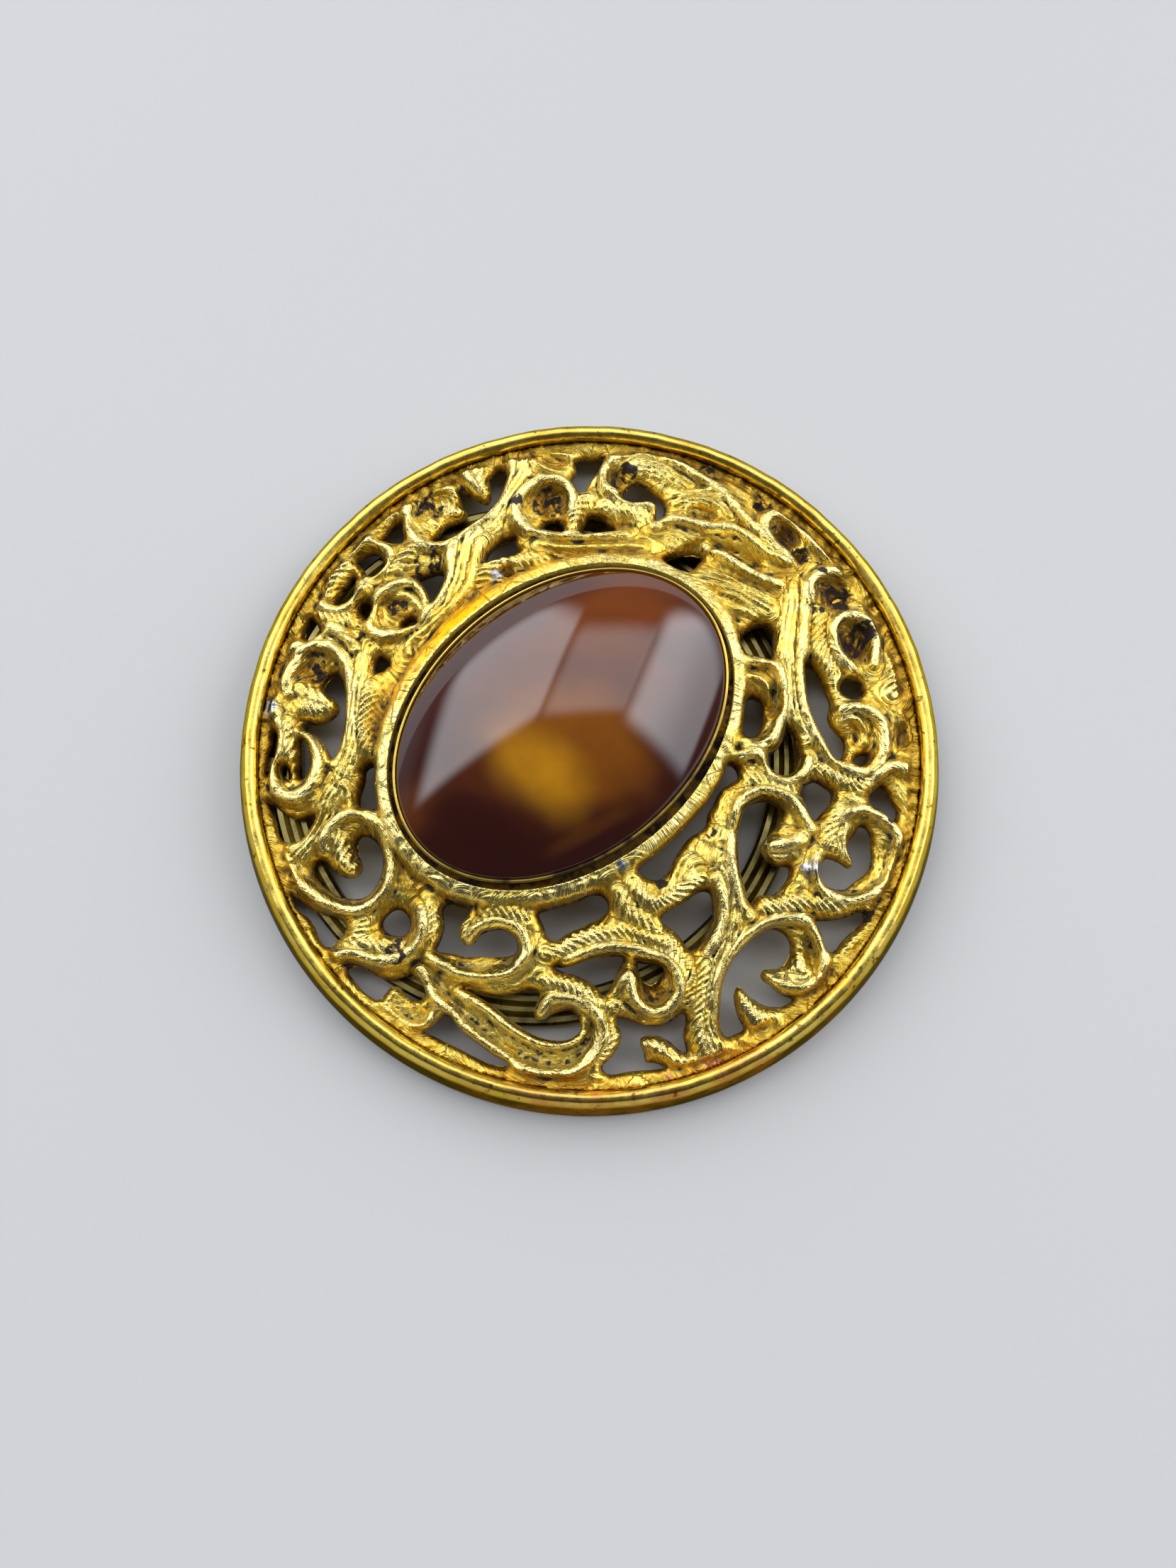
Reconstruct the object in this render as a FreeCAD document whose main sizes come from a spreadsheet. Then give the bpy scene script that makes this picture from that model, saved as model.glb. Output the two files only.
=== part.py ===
import FreeCAD, Part
import os
import Sketcher

# Scroll-work brooch with an oval cabochon and a hinged ridged clip ring on its back.
# Millimetres. It lies face up: +Z is the front, +Y the upper edge as worn, and the
# origin is on the rim's axis at the plane of the rim's lower edge.

Vector = FreeCAD.Vector
Rotation = FreeCAD.Rotation
Z_AXIS = Vector(0, 0, 1)
ALONG_Y = Rotation(Vector(1, 0, 0), -90)

SIZES = {
    # rim band
    "rim_radius": 25.0,
    "rim_lip_height": 0.3,
    "rim_wall_top_radius": 24.35,
    "rim_wall_top_height": 2.35,
    "bead_outer_radius": 23.85,
    "bead_inner_radius": 23.45,
    "rim_height": 3.05,
    "rim_seat_radius": 23.2,
    "bead_foot_height": 2.7,
    "rim_skirt_radius": 23.9,
    "rim_skirt_height": 0.9,
    "bead_round": 0.14,
    # domed openwork casting
    "crown_height": 5.2,
    "crown_rise": 2.95,
    "under_height": 3.4,
    "under_rise": 2.15,
    # oval setting, off centre and turned on the dome
    "oval_x": -1.96,
    "oval_y": 1.07,
    "oval_angle": 47.0,
    "collar_outer_major": 13.9,
    "collar_outer_minor": 10.7,
    "collar_inner_major": 13.1,
    "collar_inner_minor": 9.8,
    "collar_foot": 3.2,
    "collar_top": 5.0,
    "seat_height": 4.2,
    "window_major": 10.5,
    "window_minor": 7.0,
    "cup_wall": 0.22,
    "cup_floor": 0.25,
    "cup_top": 5.6,
    "cement_thickness": 0.15,
    "stone_major": 12.5,
    "stone_minor": 9.0,
    "stone_swell": 1.5,
    "stone_centre_height": -7.1,
    "stone_rise": 16.93,
    # clip ring
    "clip_x": -3.7,
    "clip_y": -0.5,
    "clip_outer_radius": 18.8,
    "clip_inner_radius": 16.6,
    "clip_bottom": 0.3,
    "clip_top": 1.2,
    "clip_bevel": 0.2,
    "groove_half_width": 0.2,
    "groove_depth": 0.35,
    "groove_offset": 0.35,
    "notch_x": -21.1,
    "notch_half_length": 3.25,
    # hinge
    "hinge_x": -21.9,
    "hinge_z": 0.75,
    "knuckle_radius": 0.6,
    "pin_radius": 0.35,
    "running_gap": 0.05,
    "ear_inner": 2.0,
    "ear_outer": 3.0,
    "pin_proud": 0.05,
    "web_x": -22.95,
    "web_thickness": 0.2,
    "web_bottom": 0.15,
    "web_top": 1.1,
    "post_height": 2.0,
    "neck_bottom": 0.35,
    "neck_top": 1.15,
    "tongue_thickness": 0.2,
    "tongue_half_length": 1.6,
}

# Openings through the casting: points (x, y) on each closed smooth outline.
OPENINGS = {
    "north_west_scroll": [
        (-11.2, 18.3), (-10.6, 18.15), (-10.0, 17.9), (-9.5, 17.6), (-9.1, 17.55), (-8.9, 18.2),
        (-9.1, 19.2), (-8.9, 19.9), (-8.3, 20.35), (-7.95, 20.1), (-7.95, 19.2), (-8.1, 18.3),
        (-8.4, 17.4), (-9.0, 16.5), (-10.0, 15.45), (-11.0, 14.6), (-11.8, 14.15), (-12.5, 14.15),
        (-12.3, 14.7), (-12.0, 15.3), (-11.3, 15.75), (-10.7, 16.1), (-10.45, 16.7), (-10.8, 17.05),
        (-11.0, 17.6)],
    "north_west_gap": [
        (-16.5, 14.1), (-16.0, 14.75), (-15.5, 15.4), (-15.1, 15.6), (-15.0, 15.0), (-14.85, 14.2),
        (-15.4, 14.0)],
    "upper_left_eye": [
        (-18.0, 12.35), (-17.4, 12.85), (-16.7, 13.0), (-16.1, 12.6), (-15.85, 12.1), (-16.1, 11.5),
        (-16.8, 11.1), (-17.3, 11.5), (-17.7, 12.0)],
    "upper_left_slit": [
        (-18.0, 11.0), (-17.9, 10.2), (-18.05, 9.4), (-18.4, 8.9), (-18.9, 8.8), (-18.85, 9.5),
        (-18.5, 10.3)],
    "collar_gap_north_west": [
        (-13.3, 11.1), (-12.5, 11.45), (-11.5, 11.6), (-11.4, 10.9), (-11.7, 10.0), (-12.0, 9.25),
        (-12.4, 9.9), (-12.8, 10.5)],
    "west_pinhole": [(-17.0, 8.8), (-16.4, 8.9), (-16.35, 8.2), (-16.6, 7.7), (-16.9, 8.2)],
    "west_crescent": [(-13.9, 7.3), (-13.6, 7.85), (-13.0, 7.95), (-12.85, 7.6), (-13.4, 7.35)],
    "north_gap": [
        (-2.95, 21.6), (-2.4, 21.8), (-1.7, 21.85), (-1.05, 21.95), (-1.1, 21.4), (-1.4, 20.7),
        (-1.8, 19.8), (-2.3, 19.0), (-2.65, 19.25), (-2.9, 19.6), (-3.15, 20.1), (-2.9, 20.7)],
    "north_notch": [
        (-4.85, 15.7), (-4.45, 16.3), (-4.0, 16.45), (-3.5, 16.2), (-3.3, 15.8), (-3.4, 15.4),
        (-4.1, 15.5)],
    "north_lobe": [
        (-1.65, 16.9), (-1.0, 17.0), (-0.4, 16.75), (0.0, 16.3), (0.2, 15.9), (-0.3, 15.65),
        (-1.1, 15.5), (-2.0, 15.4), (-2.1, 15.8), (-1.85, 16.4)],
    "north_east_eye": [
        (0.55, 18.75), (0.85, 19.5), (1.2, 20.0), (1.7, 20.1), (2.3, 19.85), (2.8, 19.4), (3.3, 19.0),
        (3.7, 18.5), (3.75, 17.9), (3.5, 17.3), (3.3, 17.1), (3.2, 17.6), (3.15, 18.2), (2.7, 18.45),
        (2.0, 18.35), (1.2, 18.3)],
    "collar_gap_north": [
        (-6.9, 14.75), (-7.5, 14.5), (-8.1, 14.0), (-8.5, 13.4), (-8.55, 12.7), (-8.1, 12.85),
        (-7.4, 13.1), (-6.7, 13.3), (-6.35, 13.7), (-6.6, 14.2)],
    "north_east_channel": [
        (4.15, 14.1), (4.7, 14.45), (5.4, 14.7), (6.1, 14.8), (6.7, 14.6), (6.5, 14.1), (6.1, 13.5),
        (5.5, 13.15), (5.0, 13.15), (4.5, 13.5)],
    "east_window": [
        (9.8, 8.6), (10.2, 9.25), (10.8, 9.7), (11.4, 9.9), (12.0, 9.6), (12.2, 8.8), (12.15, 7.9),
        (12.05, 7.3), (11.4, 7.35), (10.7, 7.5), (10.1, 7.95)],
    "east_oval": [
        (10.35, 2.6), (10.35, 3.5), (10.6, 4.35), (11.15, 4.45), (11.65, 4.15), (11.85, 3.4),
        (11.75, 2.5), (11.45, 1.85), (11.0, 1.65), (10.55, 1.85)],
    "east_teardrop": [
        (13.4, 2.5), (13.3, 1.7), (12.9, 1.0), (12.3, 0.3), (12.35, -0.3), (12.9, -0.75),
        (13.5, -0.85), (14.1, -0.55), (14.45, 0.1), (14.45, 0.9), (14.2, 1.8), (13.8, 2.4)],
    "east_long": [
        (14.5, 7.3), (14.55, 6.3), (14.7, 5.3), (14.9, 4.4), (15.3, 3.4), (15.8, 2.5), (16.4, 1.6),
        (17.0, 0.8), (17.4, 0.8), (17.65, 1.4), (17.6, 2.2), (17.0, 2.8), (16.5, 3.4), (16.4, 4.0),
        (16.5, 4.7), (16.2, 5.4), (15.9, 6.1), (15.5, 6.7), (15.0, 7.2)],
    "east_pit": [
        (17.2, 6.1), (17.6, 6.65), (18.2, 6.7), (18.7, 6.3), (18.75, 5.8), (18.3, 5.4), (17.6, 5.5)],
    "east_flaw": [(18.4, 0.9), (18.8, 1.3), (19.3, 1.4), (19.35, 1.0), (18.9, 0.6)],
    "rim_gap_east": [
        (19.75, -1.5), (20.1, -0.95), (20.6, -0.75), (21.0, -1.15), (21.4, -1.8), (21.7, -2.4),
        (21.6, -2.85), (21.0, -2.6), (20.4, -2.25), (19.85, -2.0)],
    "east_wedge": [
        (14.75, -1.75), (15.2, -1.2), (15.7, -0.95), (16.4, -1.2), (16.95, -1.65), (16.9, -2.3),
        (16.4, -3.0), (15.8, -3.6), (15.45, -3.1), (15.1, -2.45)],
    "collar_slit_east": [
        (9.6, -0.45), (10.25, -0.8), (10.35, -1.3), (9.9, -1.75), (9.35, -2.2), (9.0, -2.75),
        (8.8, -3.4), (8.5, -4.0), (8.45, -4.6), (8.0, -5.3), (7.5, -5.65), (7.1, -6.1), (6.8, -6.6),
        (6.5, -7.2), (6.3, -7.8), (5.95, -8.45), (5.3, -8.85), (4.6, -8.7), (4.15, -8.35),
        (4.3, -7.95), (4.95, -7.35), (5.65, -6.65), (6.35, -5.9), (7.05, -5.05), (7.7, -4.2),
        (8.25, -3.4), (8.7, -2.6), (9.1, -1.75), (9.4, -1.0)],
    "clip_window": [
        (10.85, -3.7), (11.2, -3.15), (11.8, -2.8), (12.6, -2.7), (13.2, -2.9), (13.55, -3.4),
        (13.4, -4.1), (13.0, -4.7), (12.6, -5.2), (12.35, -5.8), (12.5, -6.4), (13.0, -6.85),
        (13.7, -7.0), (14.3, -7.05), (14.35, -7.6), (14.0, -8.3), (13.4, -8.95), (12.7, -9.1),
        (12.2, -9.3), (12.0, -9.8), (11.75, -9.75), (11.45, -9.0), (11.1, -8.1), (10.85, -7.1),
        (10.7, -6.0), (10.65, -4.8)],
    "south_east_eye": [
        (18.9, -4.0), (19.3, -3.65), (19.75, -3.95), (20.0, -4.7), (20.1, -5.6), (20.05, -6.3),
        (19.6, -7.0), (19.0, -7.5), (18.5, -8.0), (17.8, -8.15), (17.0, -8.0), (16.5, -7.5),
        (16.5, -6.7), (16.9, -6.15), (17.5, -6.2), (18.1, -6.45), (18.6, -6.6), (18.7, -6.3),
        (18.4, -5.6), (18.4, -4.8)],
    "south_east_wedge": [
        (16.5, -10.4), (17.3, -10.35), (18.1, -10.15), (18.9, -9.8), (19.7, -9.55), (19.85, -10.0),
        (19.4, -10.6), (18.8, -11.2), (18.3, -11.8), (17.8, -12.4), (17.4, -12.3), (17.05, -11.6),
        (16.7, -10.95)],
    "south_east_scroll": [
        (11.2, -13.3), (11.9, -12.4), (12.6, -11.75), (13.4, -11.35), (14.2, -11.45), (14.75, -12.0),
        (14.85, -12.9), (14.5, -13.6), (13.8, -13.95), (13.1, -14.1), (13.0, -14.5), (13.5, -14.95),
        (14.0, -15.3), (14.7, -15.65), (15.3, -15.85), (14.9, -16.25), (14.2, -16.45), (13.4, -16.4),
        (12.7, -16.1), (12.1, -15.7), (11.5, -15.35), (11.3, -15.8), (11.45, -16.7), (11.8, -17.5),
        (12.15, -18.1), (11.6, -18.5), (11.0, -18.7), (10.6, -18.3), (10.4, -17.4), (10.35, -16.3),
        (10.4, -15.3), (10.7, -14.3)],
    "south_window": [
        (5.95, -11.3), (6.4, -10.75), (7.1, -10.3), (7.8, -9.75), (8.5, -9.25), (9.0, -9.3),
        (9.3, -10.0), (9.4, -10.8), (9.3, -11.6), (8.9, -12.3), (8.4, -13.0), (8.0, -13.2),
        (7.5, -12.7), (6.9, -12.1), (6.3, -11.8)],
    "collar_window_south": [
        (-2.2, -11.7), (-1.4, -11.4), (-0.5, -11.05), (0.3, -10.7), (0.95, -10.3), (1.6, -10.2),
        (2.15, -10.5), (2.3, -11.0), (2.0, -11.6), (1.3, -12.0), (0.5, -12.5), (-0.3, -12.95),
        (-1.1, -13.5), (-1.6, -13.2), (-1.9, -12.6)],
    "south_west_scroll": [
        (-9.0, -14.7), (-8.7, -13.9), (-8.65, -12.9), (-8.75, -12.1), (-8.4, -11.7), (-7.7, -11.8),
        (-7.05, -12.0), (-7.3, -12.7), (-7.5, -13.5), (-7.3, -14.1), (-6.85, -14.35), (-6.4, -14.1),
        (-6.1, -13.6), (-5.5, -13.25), (-4.7, -13.1), (-4.0, -13.35), (-3.55, -13.9), (-3.6, -14.5),
        (-4.2, -14.8), (-5.1, -14.95), (-6.1, -15.0), (-7.0, -15.1), (-7.8, -14.95), (-8.5, -14.95)],
    "south_wedge": [
        (-0.9, -15.2), (0.0, -15.1), (0.9, -14.7), (1.8, -14.35), (2.7, -14.2), (3.6, -14.2),
        (3.5, -14.7), (3.2, -15.3), (3.1, -16.0), (2.8, -16.5), (2.4, -16.6), (1.9, -16.2),
        (1.2, -15.85), (0.4, -15.6), (-0.4, -15.45)],
    "south_eye": [
        (4.7, -14.4), (5.4, -14.4), (6.2, -14.45), (6.45, -14.8), (6.1, -15.4), (5.6, -15.75),
        (5.1, -15.55), (4.75, -15.0)],
    "south_rim_window": [
        (3.7, -18.1), (4.4, -18.2), (5.2, -18.45), (6.0, -18.5), (6.8, -18.3), (7.4, -17.85),
        (8.0, -17.45), (8.2, -18.0), (8.1, -18.8), (8.3, -19.5), (8.4, -20.0), (7.8, -19.8),
        (7.2, -19.35), (6.5, -19.1), (5.7, -19.1), (5.25, -19.4), (5.35, -19.9), (5.6, -20.3),
        (5.7, -20.8), (6.4, -20.9), (7.0, -21.1), (6.2, -21.35), (5.2, -21.5), (4.2, -21.75),
        (3.2, -21.85), (2.9, -21.5), (3.4, -20.8), (3.8, -20.1), (3.95, -19.2)],
    "south_scroll": [
        (-6.8, -17.15), (-5.9, -17.35), (-5.0, -17.5), (-4.0, -17.4), (-3.1, -17.1), (-2.3, -16.9),
        (-1.85, -17.0), (-1.9, -17.8), (-1.9, -18.6), (-1.4, -18.75), (-0.8, -18.4), (-0.2, -18.1),
        (0.5, -18.05), (1.0, -18.4), (1.25, -19.0), (0.9, -19.6), (0.2, -19.95), (-0.8, -20.0),
        (-1.7, -19.85), (-2.5, -19.5), (-3.3, -19.1), (-4.1, -18.6), (-5.0, -18.05), (-5.9, -17.6)],
    "south_west_rim_window": [
        (-9.3, -20.2), (-8.7, -19.8), (-8.2, -19.25), (-7.75, -19.05), (-7.3, -19.4), (-6.8, -20.0),
        (-6.1, -20.45), (-5.3, -20.9), (-4.5, -21.35), (-3.8, -21.6), (-3.3, -21.9), (-3.9, -22.05),
        (-4.8, -21.95), (-5.8, -21.6), (-6.8, -21.2), (-7.8, -20.85), (-8.7, -20.5)],
    "west_south_scroll": [
        (-17.8, -9.6), (-17.3, -9.6), (-16.7, -10.05), (-16.0, -10.45), (-15.3, -10.5),
        (-14.75, -10.1), (-14.7, -9.6), (-15.0, -9.0), (-15.2, -8.4), (-15.1, -7.75), (-14.6, -7.6),
        (-14.0, -7.9), (-13.5, -8.4), (-13.3, -9.1), (-13.3, -9.9), (-13.5, -10.7), (-13.9, -11.4),
        (-14.5, -11.8), (-15.3, -11.9), (-16.2, -11.8), (-17.0, -11.4), (-17.7, -10.9),
        (-18.1, -10.2)],
    "west_gap": [
        (-21.9, -5.8), (-21.3, -6.1), (-20.6, -6.5), (-19.8, -6.75), (-19.0, -6.6), (-18.4, -6.5),
        (-18.5, -7.1), (-18.8, -7.7), (-19.2, -8.2), (-19.9, -8.4), (-20.6, -8.3), (-21.0, -7.8),
        (-21.2, -7.1), (-21.6, -6.5)],
    "south_west_gap": [
        (-19.4, -12.0), (-18.7, -12.45), (-18.0, -12.85), (-17.2, -13.1), (-16.4, -13.2),
        (-15.7, -13.45), (-15.4, -13.9), (-15.5, -14.4), (-16.0, -14.9), (-16.5, -15.3),
        (-17.0, -15.05), (-17.35, -14.5), (-17.7, -13.9), (-18.2, -13.4), (-18.8, -13.1),
        (-19.2, -12.6)],
    "south_west_eye": [
        (-12.85, -13.4), (-12.5, -12.7), (-11.85, -12.35), (-11.2, -12.7), (-10.95, -13.4),
        (-11.3, -14.05), (-11.9, -14.15), (-12.5, -13.95)],
    "south_west_channel": [
        (-14.85, -16.6), (-14.2, -16.4), (-13.5, -16.65), (-12.8, -16.95), (-12.0, -17.1),
        (-11.3, -16.95), (-10.6, -16.75), (-9.95, -16.95), (-9.6, -17.4), (-9.5, -17.95),
        (-9.9, -18.3), (-10.5, -18.2), (-10.95, -17.8), (-11.4, -17.45), (-11.8, -17.55),
        (-12.2, -18.0), (-12.7, -18.5), (-13.2, -18.35), (-13.9, -17.9), (-14.5, -17.3)],
    "collar_gap_west": [
        (-15.05, -2.9), (-14.7, -2.75), (-14.5, -3.3), (-14.35, -4.1), (-14.2, -4.9), (-14.1, -5.5),
        (-14.6, -5.75), (-15.2, -5.7), (-15.4, -5.2), (-15.3, -4.4), (-15.2, -3.6)],
    "west_scroll": [
        (-18.2, 3.7), (-17.75, 3.3), (-17.45, 2.6), (-17.2, 1.7), (-17.1, 0.8), (-17.05, -0.1),
        (-17.1, -1.0), (-17.25, -1.9), (-17.6, -2.45), (-18.0, -2.1), (-18.4, -1.5), (-19.0, -0.95),
        (-19.7, -0.65), (-20.1, -0.4), (-19.9, -0.05), (-19.3, 0.0), (-18.6, 0.15), (-18.1, 0.5),
        (-17.75, 1.0), (-17.8, 1.4), (-18.3, 1.85), (-18.8, 2.2), (-19.05, 2.8), (-18.7, 3.4)],
    "west_slit": [
        (-20.05, -1.2), (-19.7, -1.5), (-19.45, -2.1), (-19.35, -2.8), (-19.45, -3.5), (-19.8, -3.9),
        (-20.05, -3.7), (-20.05, -2.9), (-20.1, -2.0)],
    "west_rim_slit": [
        (-22.15, -0.8), (-21.9, -1.1), (-21.8, -1.8), (-21.85, -2.5), (-22.05, -3.2), (-22.4, -3.9),
        (-22.5, -3.3), (-22.45, -2.3), (-22.3, -1.4)],
    "west_nick": [
        (-21.3, -3.25), (-20.8, -3.25), (-20.6, -3.6), (-20.5, -4.0), (-21.0, -3.95), (-21.3, -3.6)],
    "upper_west_gap": [
        (-20.7, 7.75), (-20.3, 7.4), (-20.0, 6.95), (-19.75, 6.7), (-20.1, 6.3), (-20.7, 6.0),
        (-21.05, 6.4), (-21.0, 7.1)],
    "west_leaf_pit": [
        (-15.45, 4.7), (-15.0, 4.95), (-14.55, 4.6), (-14.8, 4.2), (-15.3, 3.95)],
}

doc = FreeCAD.newDocument("brooch")
sheet = doc.addObject("Spreadsheet::Sheet", "Sizes")
for row, (alias, value) in enumerate(SIZES.items(), start=1):
    sheet.set(f"A{row}", alias)
    sheet.set(f"B{row}", str(value))
    sheet.setAlias(f"B{row}", alias)
doc.recompute()


def named(words):
    """The words of a size expression with each sheet alias made a reference to the sheet."""
    return " ".join(f"Sizes.{word}" if word in SIZES else word for word in words.split())


def value_of(words):
    """The present value of a size expression."""
    return float(sheet.evalExpression(named(words)))


def bind(item, **sizes):
    """Bind properties to size expressions; x, y, z and angle are the item's placement."""
    paths = {
        "x": "Placement.Base.x",
        "y": "Placement.Base.y",
        "z": "Placement.Base.z",
        "angle": "Placement.Rotation.Angle",
    }
    for name, words in sizes.items():
        item.setExpression(paths.get(name, name), named(words))
    return item


def solid_box(name, low_x, high_x, low_y, high_y, low_z, high_z):
    """A box between the given size expressions."""
    box = doc.addObject("Part::Box", name)
    return bind(
        box, x=low_x, y=low_y, z=low_z,
        Length=f"( {high_x} ) - ( {low_x} )",
        Width=f"( {high_y} ) - ( {low_y} )",
        Height=f"( {high_z} ) - ( {low_z} )")


def hinge_cylinder(name, radius, low_y, high_y):
    """A cylinder on the hinge axis, which runs along Y."""
    cylinder = doc.addObject("Part::Cylinder", name)
    cylinder.Placement.Rotation = ALONG_Y
    return bind(
        cylinder, x="hinge_x", y=low_y, z="hinge_z", Radius=radius,
        Height=f"( {high_y} ) - ( {low_y} )")


def oval_prism(name, major, minor, bottom, top):
    """An upright oval prism on the setting's centre, its long axis at the setting's angle."""
    oval = doc.addObject("Part::Ellipse", name + "_outline")
    oval.Placement.Rotation = Rotation(Z_AXIS, SIZES["oval_angle"])
    bind(
        oval, x="oval_x", y="oval_y", z=bottom, angle="oval_angle",
        MajorRadius=major, MinorRadius=minor)
    prism = doc.addObject("Part::Extrusion", name)
    prism.Base = oval
    prism.DirMode = "Custom"
    prism.Dir = Z_AXIS
    prism.Solid = True
    return bind(prism, LengthFwd=f"( {top} ) - ( {bottom} )")


def fuse(name, *pieces):
    joined = doc.addObject("Part::MultiFuse", name)
    joined.Shapes = list(pieces)
    return joined


def cut(name, base, tool):
    result = doc.addObject("Part::Cut", name)
    result.Base = base
    result.Tool = tool
    return result


def common(name, base, tool):
    result = doc.addObject("Part::Common", name)
    result.Base = base
    result.Tool = tool
    return result


def origin_plane(body, role):
    return next(feature for feature in body.Origin.OriginFeatures if feature.Role == role)


def profile_sketch(body, name, role, corners):
    """A closed polygon whose corners are pairs of size expressions, fully bound to the sheet."""
    sketch = body.newObject("Sketcher::SketchObject", name)
    sketch.AttachmentSupport = (origin_plane(body, role), [""])
    sketch.MapMode = "FlatFace"
    points = [Vector(value_of(across), value_of(up), 0) for across, up in corners]
    count = len(points)
    for side in range(count):
        sketch.addGeometry(Part.LineSegment(points[side], points[(side + 1) % count]), False)
    for side in range(count):
        sketch.addConstraint(Sketcher.Constraint("Coincident", side, 2, (side + 1) % count, 1))
    for side, pair in enumerate(corners):
        for kind, words, axis in (("DistanceX", pair[0], -2), ("DistanceY", pair[1], -1)):
            if words == "0":
                sketch.addConstraint(Sketcher.Constraint("PointOnObject", side, 1, axis))
                continue
            index = sketch.addConstraint(
                Sketcher.Constraint(kind, -1, 1, side, 1, value_of(words)))
            label = f"corner_{side}_{kind[-1].lower()}"
            sketch.renameConstraint(index, label)
            sketch.setExpression(f"Constraints.{label}", named(words))
    return sketch


def turned_body(name, corners):
    """A body turned about its own Z axis from a section of (radius, height) corners."""
    body = doc.addObject("PartDesign::Body", name)
    sketch = profile_sketch(body, name + "_section", "XZ_Plane", corners)
    turn = body.newObject("PartDesign::Revolution", name + "_turn")
    turn.Profile = sketch
    turn.ReferenceAxis = (sketch, ["V_Axis"])
    turn.Angle = 360.0
    doc.recompute()
    return body, turn


def circle_edges(shape, radius, height):
    """Names of the shape's full circles of one radius at one height."""
    near = 1e-4
    return [
        f"Edge{number}" for number, edge in enumerate(shape.Edges, start=1)
        if isinstance(edge.Curve, Part.Circle)
        and abs(edge.Curve.Radius - radius) < near
        and abs(edge.Curve.Center.z - height) < near]


def rim_band():
    """Flared band: a thin skirt, a lip at its foot, a bevel and a rounded bead at its top."""
    body, turn = turned_body("rim_band", [
        ("rim_skirt_radius", "0"),
        ("rim_radius", "0"),
        ("rim_radius", "rim_lip_height"),
        ("rim_wall_top_radius", "rim_wall_top_height"),
        ("bead_outer_radius", "rim_height"),
        ("bead_inner_radius", "rim_height"),
        ("rim_seat_radius", "bead_foot_height"),
        ("rim_seat_radius", "under_height - under_rise"),
        ("rim_skirt_radius", "rim_skirt_height")])
    crest = [
        edge for radius in ("bead_outer_radius", "bead_inner_radius")
        for edge in circle_edges(turn.Shape, SIZES[radius], SIZES["rim_height"])]
    round_over = body.newObject("PartDesign::Fillet", "bead_rounding")
    round_over.Base = (turn, crest)
    round_over.setExpression("Radius", named("bead_round"))
    return body


def sphere_through(name, top, rise):
    """A sphere whose cap has the given top height and falls by rise at the rim's seat."""
    sphere = doc.addObject("Part::Sphere", name)
    radius = f"( rim_seat_radius ^ 2 + {rise} ^ 2 ) / ( 2 * {rise} )"
    return bind(sphere, Radius=radius, z=f"{top} - {radius}")


def dome_blank():
    """The domed disc that the scroll-work is pierced in."""
    disc = doc.addObject("Part::Cylinder", "dome_disc")
    bind(disc, Radius="rim_seat_radius", Height="crown_height + 1")
    shell = common("dome_cap", disc, sphere_through("dome_top", "crown_height", "crown_rise"))
    return cut("dome_blank", shell, sphere_through("dome_under", "under_height", "under_rise"))


def opening_prisms():
    """Upright prisms on the outlines of the openings."""
    outlines = doc.addObject("Sketcher::SketchObject", "opening_outlines")
    for points in OPENINGS.values():
        curve = Part.BSplineCurve()
        curve.interpolate([Vector(x, y, 0) for x, y in points], PeriodicFlag=True)
        outlines.addGeometry(curve, False)
    prisms = doc.addObject("Part::Extrusion", "opening_prisms")
    prisms.Base = outlines
    prisms.DirMode = "Custom"
    prisms.Dir = Z_AXIS
    prisms.Solid = True
    return bind(prisms, LengthFwd="crown_height + 1")


def openwork_front(blank):
    """Pierced dome, cast in one with the oval collar, its seat and the window under it."""
    pierced = cut("pierced_dome", blank, opening_prisms())
    collar = oval_prism(
        "collar", "collar_outer_major", "collar_outer_minor", "collar_foot", "collar_top")
    well = oval_prism(
        "setting_well", "collar_inner_major", "collar_inner_minor", "seat_height",
        "crown_height + 1")
    window = oval_prism(
        "back_window", "window_major", "window_minor", "0", "crown_height + 1")
    with_collar = fuse("dome_with_collar", pierced, collar)
    return cut("openwork_front", cut("dome_with_well", with_collar, well), window)


def setting_cup():
    """Thin oval cup that stands on the seat and holds the stone."""
    outside = oval_prism(
        "cup_outside", "stone_major + cup_wall", "stone_minor + cup_wall", "seat_height", "cup_top")
    inside = oval_prism(
        "cup_inside", "stone_major", "stone_minor", "seat_height + cup_floor", "cup_top + 1")
    return cut("setting_cup", outside, inside)


def stone_cement():
    """Bed of cement between the cup's floor and the stone."""
    floor = "seat_height + cup_floor"
    return oval_prism(
        "stone_cement", "stone_major", "stone_minor", floor, floor + " + cement_thickness")


def cabochon():
    """Oval stone: a short upright girdle under a smooth dome."""
    base = "seat_height + cup_floor + cement_thickness"
    girdle = oval_prism(
        "girdle", "stone_major", "stone_minor", base, "stone_centre_height + stone_rise + 1")
    swell = doc.addObject("Part::Ellipsoid", "stone_dome")
    swell.Angle1 = -90
    swell.Placement.Rotation = Rotation(Z_AXIS, SIZES["oval_angle"])
    bind(
        swell, x="oval_x", y="oval_y", z="stone_centre_height", angle="oval_angle",
        Radius1="stone_rise", Radius2="stone_major * stone_swell",
        Radius3="stone_minor * stone_swell")
    return common("cabochon", girdle, swell)


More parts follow.
